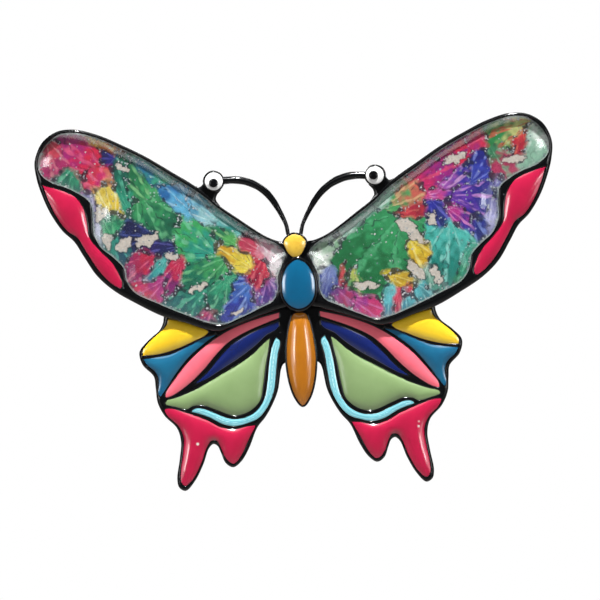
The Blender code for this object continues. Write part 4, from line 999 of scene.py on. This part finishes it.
def clear_resin():
    """Clear cast epoxy: see-through from the front, with a Fresnel gloss and a faint haze."""
    made, tree = new_material("clear_resin")
    life = poured(tree, 120.0, 260.0, 700.0, 0.012)
    bump = bumped(tree, life["Height"], 0.035, 0.00003)
    rough = mapped(tree, life["Cloud"], 0.0, 1.0, 0.08, 0.17)
    gloss = put(tree, "BsdfPrincipled", {"Base Color": hexed("F2F8F6"), "Roughness": rough,
                                         "Normal": bump, "Metallic": 1.0})[0]
    empty = put(tree, "BsdfTransparent")[0]
    mirror = put(tree, "Fresnel", {"IOR": 1.85, "Normal": bump})[0]
    dusty = reckoned(tree, "MULTIPLY_ADD", life["Specks"], 0.25, mirror)
    facing = reckoned(tree, "SUBTRACT", 1.0, put(tree, "NewGeometry")["Backfacing"])
    share = reckoned(tree, "MULTIPLY", dusty, facing)
    blend = put(tree, "MixShader", {0: share, 1: empty, 2: gloss})[0]
    put(tree, "OutputMaterial", {"Surface": blend})
    return made


shell, _ = poured_fill(
    print_loop, PRINT_HEIGHT + DOME_GAP, FORE_TOP - ENAMEL_BELOW_RIM, DOME_RISE, DOME_REACH,
    spacing=0.21, swell=lambda flat: DOME_SAG + DOME_SWELL * wave(*flat.T, 9.0, 5.0),
)
make_pair("resin_dome", shell, clear_resin(), "wing_dome")

# ------------------------------------------------------------------------------------------
# Enamel in the head, the thorax and the abdomen: three larger drops on the body's axis,
# standing proud of the rings round them.
# Each drop's body colour, then the darker colour of its drift and of its painted shade against the
# ring.
for name, loop, top, rise, reach, body_hex, shade_and_drift_hex in (
    ("thorax", thorax_loop, THORAX_TOP, 0.4, 0.9, "035F88", "034A70"),
    ("head", head_loop, HEAD_TOP, 0.5, 0.7, "E8C046", "D8A02A"),
    ("abdomen", abdomen_loop, ABDOMEN_TOP, 0.95, 0.9, "BE7414", "A05A0C"),
):
    shell, depth = poured_fill(loop, top - BODY_CELL + FILL_GAP, top - ENAMEL_BELOW_RIM, rise,
                               reach, spacing=0.16)
    fill = name + "_enamel"
    make(name + "_drop", shell, enamel(fill, body_hex, shade_and_drift_hex), fill,
         values=thickness(depth, shell))

# ------------------------------------------------------------------------------------------
# The eyes: a drop of white enamel in each socket, and a small black drop on it for the
# pupil, set by hand, so that the two pupils don't look quite the same way.
WHITE_EDGE, WHITE_RISE, WHITE_REACH = 1.94, 0.3, 0.45
PUPIL_RADIUS, PUPIL_RISE, PUPIL_REACH = 0.6, 0.12, 0.16
PUPIL_BACK, PUPIL_EDGE = 2.1, 2.27
white_skin = enamel("white_enamel", "FBFBFA", "F0F0EE")
pupil_skin = enamel("pupil_enamel", "08080A", "040405", index=1.35)
for side, sign, offset in (("right", 1, (-0.2, 0.0)), ("left", -1, (-0.06, -0.24))):
    centre = np.array([sign * EYE_CENTRE[0], EYE_CENTRE[1]])
    shell, depth = poured_fill(circle(centre, EYE_RADIUS), EYE_FLOOR + FILL_GAP, WHITE_EDGE,
                               WHITE_RISE, WHITE_REACH, spacing=0.12)
    make("eye_" + side, shell, white_skin, "eye_white_" + side,
         values=thickness(depth, shell))
    shell, depth = poured_fill(circle(centre + offset, PUPIL_RADIUS, 48), PUPIL_BACK, PUPIL_EDGE,
                               PUPIL_RISE, PUPIL_REACH, spacing=0.08)
    make("pupil_" + side, shell, pupil_skin, "eye_pupil_" + side,
         values=thickness(depth, shell, 4))

# ------------------------------------------------------------------------------------------
# The bar of the pin finding: a stamped steel strip with round ends, stuck to the casting's
# back, with two ears bent up from one end to carry the hinge. Bright nickel plate all over.
BAR_BACK, BAR_FRONT = 0.0, -0.6
BAR_END, BAR_RADIUS, WAIST_END, WAIST_HALF, WAIST_SLOPE = 15.3, 2.2, 8.0, 2.0, 0.3
EAR_INNER, EAR_OUTER, EAR_RADIUS, EAR_FLARE = 1.3, 1.9, 1.15, 0.35
EAR_NECK, EAR_BOTTOM = 0.6, -0.25
STEEL_CREASE = 50
joints = {joint["name"]: joint for joint in frame["joints"]}
HINGE = np.array(joints["pin_hinge"]["pos_m"]) / MM
CATCH = np.array(joints["catch_turn"]["pos_m"]) / MM


def build_metal_life():
    """The node group of a plated stamping.

    Grain is noise drawn out along one axis, Marks are sparse dark scratches, Tarnish is a
    slow cloud, and Height is the grain cut by the marks.
    """
    group, taken, where = new_group(
        "plated_metal", {"Stretch": (60.0, 1200.0, 1200.0), "Mark Share": 0.1},
        ("Grain", "Marks", "Tarnish", "Height"))
    drawn = put(group, "VectorMath", {0: where, 1: taken["Stretch"]}, operation="MULTIPLY")[0]
    grain = put(group, "TexNoise", {"Vector": drawn, "Scale": 4.0, "Detail": 4.0,
                                    "Roughness": 0.6})["Fac"]
    marks = spotted(group, drawn, 0.6, 0.04, 0.12, "Green", taken["Mark Share"])
    cloud = put(group, "TexNoise", {"Vector": where, "Scale": 320.0, "Detail": 3.0})["Fac"]
    put(group, "NodeGroupOutput", {"Grain": grain, "Marks": marks, "Tarnish": cloud,
                                   "Height": reckoned(group, "MULTIPLY_ADD", marks, -0.7, grain)})
    return group


METAL = build_metal_life()


def plated(name, bright, dull, stretch, rough_low, rough_high):
    """Nickel-plated steel: brushed grain, a slow tarnish and a few marks."""
    made, tree = new_material(name)
    life = put(tree, "Group", {"Stretch": stretch, "Mark Share": 0.14}, node_tree=METAL)
    aged = mapped(tree, life["Tarnish"], 0.35, 0.8, 0.0, 0.8)
    shade = mixed(tree, aged, hexed(bright), hexed(dull))
    surface(tree, {
        "Base Color": mixed(tree, life["Marks"], shade, hexed("6E6A62")), "Metallic": 1.0,
        "Roughness": mapped(tree, life["Grain"], 0.25, 0.75, rough_low, rough_high),
        "Normal": bumped(tree, life["Height"], 0.22, 0.00003),
    })
    return made


def stacked(rings):
    """A solid through (outline, height) rings of equal counts, with flat caps on both ends."""
    n, last = len(rings[0][0]), len(rings) - 1
    cap = filled(rings[0][0], [], [], COARSE, 1.0)[1]
    faces = [ribbon(k * n, (k + 1) * n, n) for k in range(last)]
    points = np.concatenate([raised(loop, y) for loop, y in rings])
    return points, [*faces, cap, cap[:, ::-1] + last * n]


def slab(loop, front, back, bevel):
    """A plate between two heights with round edges: quarter circles of the bevel radius.

    The loop runs anticlockwise in (u, v); points come out as (u, height, v).
    """
    edge = [(bevel * (1 - math.cos(a)), bevel * (1 - math.sin(a)))
            for a in np.radians((90, 60, 30, 0))]
    rings = [(grown(loop, -inset), front + step) for inset, step in edge]
    return stacked(rings + [(grown(loop, -inset), back - step) for inset, step in edge[::-1]])


def arc(centre, radius, first, last, count):
    """Points on a circle from one angle to another, in degrees."""
    a = np.radians(np.linspace(first, last, count))
    return np.stack([centre[0] + radius * np.cos(a), centre[1] + radius * np.sin(a)], axis=1)


half_bar = np.concatenate([
    arc((BAR_END, 0), BAR_RADIUS, -90, 90, 33),
    [(WAIST_END + WAIST_SLOPE, BAR_RADIUS), (WAIST_END, WAIST_HALF), (-WAIST_END, WAIST_HALF),
     (-WAIST_END - WAIST_SLOPE, BAR_RADIUS)],
])
bar_loop = np.concatenate([half_bar, -half_bar])
ear_foot = np.array([(EAR_RADIUS, EAR_NECK), (EAR_RADIUS + EAR_FLARE, BAR_BACK),
                     (EAR_RADIUS + EAR_FLARE, EAR_BOTTOM)])
ear_loop = np.concatenate([arc((0, HINGE[1]), EAR_RADIUS, 0, 180, 25), ear_foot * (-1, 1),
                           ear_foot[::-1]]) + (HINGE[0], 0)
bar_shells = [slab(bar_loop, BAR_FRONT, BAR_BACK, bevel=0.12)]
for low in (EAR_INNER, -EAR_OUTER):
    points, faces = slab(ear_loop, -low - (EAR_OUTER - EAR_INNER), -low, bevel=0.1)
    bar_shells.append((points[:, [0, 2, 1]] * (1, 1, -1), faces))
bar_skin = plated("nickel_plate", "C9C6BE", "A9A294", (90.0, 1500.0, 1500.0), 0.22, 0.42)
make("stamped_bar", joined(bar_shells), bar_skin, "pin_bar", sharp=STEEL_CREASE)

# ------------------------------------------------------------------------------------------
# The catch housing: steel strip rolled into an open ring on a foot that is spot welded to
# the bar. The ring's mouth faces away from the brooch and takes the pin's point.
HOUSING_LENGTH, HOUSING_BORE, HOUSING_OUTER = 2.2, 1.66, 2.15
MOUTH_HALF, FOOT_HALF, FOOT_TOP, FOOT_SHOULDER, FOOT_GAP = 0.84, 1.35, 0.75, 0.55, 0.05
edge_outer = math.degrees(math.acos(MOUTH_HALF / HOUSING_OUTER))
edge_inner = math.degrees(math.acos(MOUTH_HALF / HOUSING_BORE))
foot_angle = math.degrees(math.asin((CATCH[1] - FOOT_TOP) / HOUSING_OUTER))
housing_loop = np.concatenate([
    arc((0, 0), HOUSING_OUTER, edge_outer, -foot_angle, 26),
    [(FOOT_HALF, FOOT_SHOULDER - CATCH[1]), (FOOT_HALF, FOOT_GAP - CATCH[1]),
     (-FOOT_HALF, FOOT_GAP - CATCH[1]), (-FOOT_HALF, FOOT_SHOULDER - CATCH[1])],
    arc((0, 0), HOUSING_OUTER, 180 + foot_angle, 180 - edge_outer, 26),
    arc((0, 0), HOUSING_BORE, 180 - edge_inner, 360 + edge_inner, 53),
])[::-1]
points, faces = slab(housing_loop, -HOUSING_LENGTH / 2, HOUSING_LENGTH / 2, bevel=0.09)
make("rolled_housing", (points[:, [1, 2, 0]] + CATCH, faces), bar_skin,
     "catch_housing", sharp=STEEL_CREASE)

# ------------------------------------------------------------------------------------------
# The hinge rivet: a short steel pin put through both ears and the stem's eye, its two ends
# closed into low domed heads with a snap.
RIVET_RADIUS, RIVET_HEAD, RIVET_SEAT = 0.5, 0.85, 1.92
RIVET_EDGE, RIVET_CHAMFER, RIVET_DOME = 0.08, 0.04, 0.24


def turned(profile, count):
    """A turned shape: rings (r cos a, r sin a, h) for each pair (r, h), upwards.

    A profile that starts and ends on the axis closes on two points; any other closes on
    itself, as a ring with a hole.
    """
    pairs = np.array(profile, float)
    a = 2 * np.pi * np.arange(count) / count
    poles = pairs[0, 0] == 0
    body = pairs[1:-1] if poles else pairs
    r, h = body[:, :1], body[:, 1:]
    rings = np.stack([r * np.cos(a), r * np.sin(a), h + 0 * a], axis=-1).reshape(-1, 3)
    rows = len(body)
    if poles:
        ends = [(0, 0, pairs[0, 1]), (0, 0, pairs[-1, 1])]
        return np.concatenate([rings, ends]), capped(rows, count)
    return rings, [ribbon(k * count, (k + 1) % rows * count, count, False) for k in range(rows)]


head = [(RIVET_HEAD * math.cos(u), RIVET_SEAT + RIVET_EDGE + RIVET_DOME * math.sin(u))
        for u in np.radians(np.linspace(0, 84, 8))]
upper = [(RIVET_RADIUS, RIVET_SEAT), (RIVET_HEAD - RIVET_CHAMFER, RIVET_SEAT), *head,
         (0, RIVET_SEAT + RIVET_EDGE + RIVET_DOME)]
points, faces = turned([*[(r, -h) for r, h in upper[::-1]], *upper], 36)
pin_skin = plated("bright_steel", "D4D3CF", "B9B5AC", (70.0, 1700.0, 1700.0), 0.14, 0.3)
make("closed_rivet", (points + HINGE, faces), pin_skin, "hinge_rivet",
     sharp=STEEL_CREASE)

# ------------------------------------------------------------------------------------------
# The pin stem: hard drawn steel wire, ground to a point at one end. A turned eye is welded to
# the other end and swings on the hinge rivet between the bar's ears.
HUB_RADIUS, HUB_HALF, HUB_BORE = 1.2, 1.2, 0.55
STEM_RADIUS, TIP_X = 0.4, -18.1
HUB_BEVEL, BORE_BEVEL = 0.12, 0.06
# The weld's fillet as (radius, distance from the hinge), and the point's as (distance from
# the tip, radius).
FILLET = [(0, 0.7), (0.56, 0.71), (0.56, 1.1), (0.47, 1.3), (STEM_RADIUS, 1.6)]
TAPER = [(0.0, 0.0), (0.03, 0.04), (0.6, 0.14), (1.6, 0.25), (3.2, 0.35), (5.0, STEM_RADIUS)]
hub_edge = [
    (HUB_RADIUS, HUB_HALF - HUB_BEVEL), (HUB_RADIUS - 0.03, HUB_HALF - 0.04),
    (HUB_RADIUS - HUB_BEVEL, HUB_HALF), (HUB_BORE + BORE_BEVEL, HUB_HALF),
    (HUB_BORE, HUB_HALF - BORE_BEVEL),
]
hub = turned([*[(r, -h) for r, h in hub_edge[::-1]], *hub_edge], 48)
length = HINGE[0] - TIP_X
wire = [(r, length - s) for s, r in TAPER[::-1]]
along = np.linspace(FILLET[-1][1] + 0.6, length - TAPER[-1][0] - 0.6, 30)
stem = turned([*FILLET, *[(STEM_RADIUS, u) for u in along], *wire], 28)
stem_points = stem[0][:, [2, 1, 0]] * (-1, 1, 1)
make("ground_stem", joined([(hub[0] + HINGE, hub[1]), (stem_points + HINGE, stem[1])]), pin_skin,
     "pin_stem", "pin_stem", sharp=STEEL_CREASE)

# ------------------------------------------------------------------------------------------
# The catch's lever: a slotted steel roller that turns in the housing. Turned one way its
# slot lines up with the mouth and lets the pin in; the tab on its collar turns it back.
ROLLER_RADIUS, COLLAR_RADIUS, LIP_RADIUS, SLOT_HALF = 1.6, 2.05, 1.85, 0.52
LEVER_BEVEL, LIP_BEVEL = 0.08, 0.06
LEVER_SECTIONS = [
    (-16.28, COLLAR_RADIUS - LEVER_BEVEL), (-16.2, COLLAR_RADIUS), (-15.66, COLLAR_RADIUS),
    (-15.58, COLLAR_RADIUS - LEVER_BEVEL), (-15.58, ROLLER_RADIUS), (-13.22, ROLLER_RADIUS),
    (-13.22, LIP_RADIUS - LIP_BEVEL), (-13.16, LIP_RADIUS), (-12.93, LIP_RADIUS),
    (-12.87, LIP_RADIUS - LIP_BEVEL),
]
TAB_TURN, TAB_HALF, TAB_ROOT, TAB_REACH = -100.0, 0.55, 1.75, 3.5
TAB_OUTER, TAB_INNER = -16.23, -15.63


def slotted(radius):
    """A disc's outline with a round-ended slot from its centre out towards +v."""
    edge = math.degrees(math.acos(SLOT_HALF / radius))
    return np.concatenate([
        arc((0, 0), radius, edge, -180 - edge, 60),
        [(-SLOT_HALF, radius * 0.5), (-SLOT_HALF, 0.2)],
        arc((0, 0), SLOT_HALF, 180, 360, 15),
        [(SLOT_HALF, 0.2), (SLOT_HALF, radius * 0.5)],
    ])[::-1]


points, faces = stacked([(slotted(radius), x) for x, radius in LEVER_SECTIONS])
roller = points[:, [1, 2, 0]] + (0, CATCH[1], CATCH[2])
tab_loop = np.concatenate([
    [(-TAB_HALF, TAB_ROOT), (TAB_HALF, TAB_ROOT)],
    arc((0, TAB_REACH - TAB_HALF), TAB_HALF, 0, 180, 19),
])
points, tab_faces = slab(tab_loop, TAB_OUTER, TAB_INNER, bevel=0.12)
turn = math.radians(TAB_TURN)
out, x, up = points.T
tab = np.stack([
    x,
    CATCH[1] + up * math.cos(turn) + out * math.sin(turn),
    CATCH[2] + up * math.sin(turn) - out * math.cos(turn),
], axis=1)
make("slotted_lever", joined([(roller, faces), (tab, tab_faces)]), pin_skin,
     "catch_lever", "catch_lever", sharp=STEEL_CREASE)

# ------------------------------------------------------------------------------------------
# The studio: a pale bench well below the brooch, a white backdrop for the camera, a hard
# key from high in front, softboxes above and beside it, and two lamps for its back.
CENTRE = Vector((0.00014, -0.003, -0.00515))
FLOOR_Z, FLOOR_HALF = -0.4, 2.5
CAMERA_DISTANCE, CAMERA_TILT = 0.676, 2.2
BENCH_GLOW, ROOM_LIGHT = 0.72, 0.07

bench = bpy.data.meshes.new("bench")
bench.from_pydata(
    [(x, y, FLOOR_Z) for x, y in ((-FLOOR_HALF, -FLOOR_HALF), (FLOOR_HALF, -FLOOR_HALF),
                                  (FLOOR_HALF, FLOOR_HALF), (-FLOOR_HALF, FLOOR_HALF))],
    [], [(0, 1, 2, 3)],
)
skin, tree = new_material("bench")
where = put(tree, "TexCoord")["Object"]
haze = put(tree, "TexNoise", {"Vector": where, "Scale": 9.0})["Fac"]
seen = put(tree, "LightPath")["Is Camera Ray"]
surface(tree, {
    "Base Color": mixed(tree, haze, hexed("E4E3E0"), hexed("EDECEA")), "Roughness": 0.8,
    "Emission Color": (1.0, 1.0, 1.0, 1.0),
    "Emission Strength": reckoned(tree, "MULTIPLY", seen, BENCH_GLOW),
})
bench.materials.append(skin)
bench = bpy.data.objects.new("bench", bench)
bpy.context.scene.collection.objects.link(bench)


def lamp(name, place, size, power, spread=180):
    """A rectangular softbox in metres that faces the brooch's middle."""
    data = bpy.data.lights.new(name, "AREA")
    data.shape = "RECTANGLE"
    data.size, data.size_y = size
    data.energy = power
    data.spread = math.radians(spread)
    made = bpy.data.objects.new(name, data)
    made.location = place
    made.rotation_euler = (CENTRE - Vector(place)).to_track_quat("-Z", "Y").to_euler()
    made.visible_camera = False
    bpy.context.scene.collection.objects.link(made)


lamp("key", (0.03, -0.315, 0.68), (0.04, 0.04), 0.52, spread=40)
lamp("overhead", (0.0, -0.38, 0.45), (0.62, 0.11), 0.33)
lamp("left_box", (-0.5, -0.47, 0.02), (0.18, 0.46), 0.35)
lamp("right_box", (0.5, -0.47, 0.02), (0.18, 0.46), 0.35)
lamp("left_core", (-0.38, -0.56, 0.05), (0.1, 0.18), 0.45)
lamp("right_core", (0.38, -0.56, 0.05), (0.1, 0.18), 0.45)
lamp("back_left", (-0.4, 0.8, 0.35), (0.3, 0.5), 4.0)
lamp("back_top", (0.25, 0.7, 0.6), (0.5, 0.3), 4.0)

world = bpy.data.worlds.new("studio")
world.use_nodes = True
bpy.context.scene.world = world
tree = world.node_tree
tree.nodes.clear()
seen = put(tree, "LightPath")["Is Camera Ray"]
level = mapped(tree, seen, 0.0, 1.0, ROOM_LIGHT, 1.0)
glow = put(tree, "Background", {"Color": (1.0, 1.0, 1.0, 1.0), "Strength": level})[0]
put(tree, "OutputWorld", {"Surface": glow})

view = bpy.data.cameras.new("camera")
view.lens = 300.0
view.sensor_width = 36.0
view.clip_start, view.clip_end = 0.01, 20.0
eye = bpy.data.objects.new("camera", view)
eye.location = CENTRE - Vector((0, CAMERA_DISTANCE, 0))
eye.rotation_euler = (math.radians(90), math.radians(CAMERA_TILT), 0)
bpy.context.scene.collection.objects.link(eye)
bpy.context.scene.camera = eye
bpy.context.scene.view_settings.view_transform = "Standard"
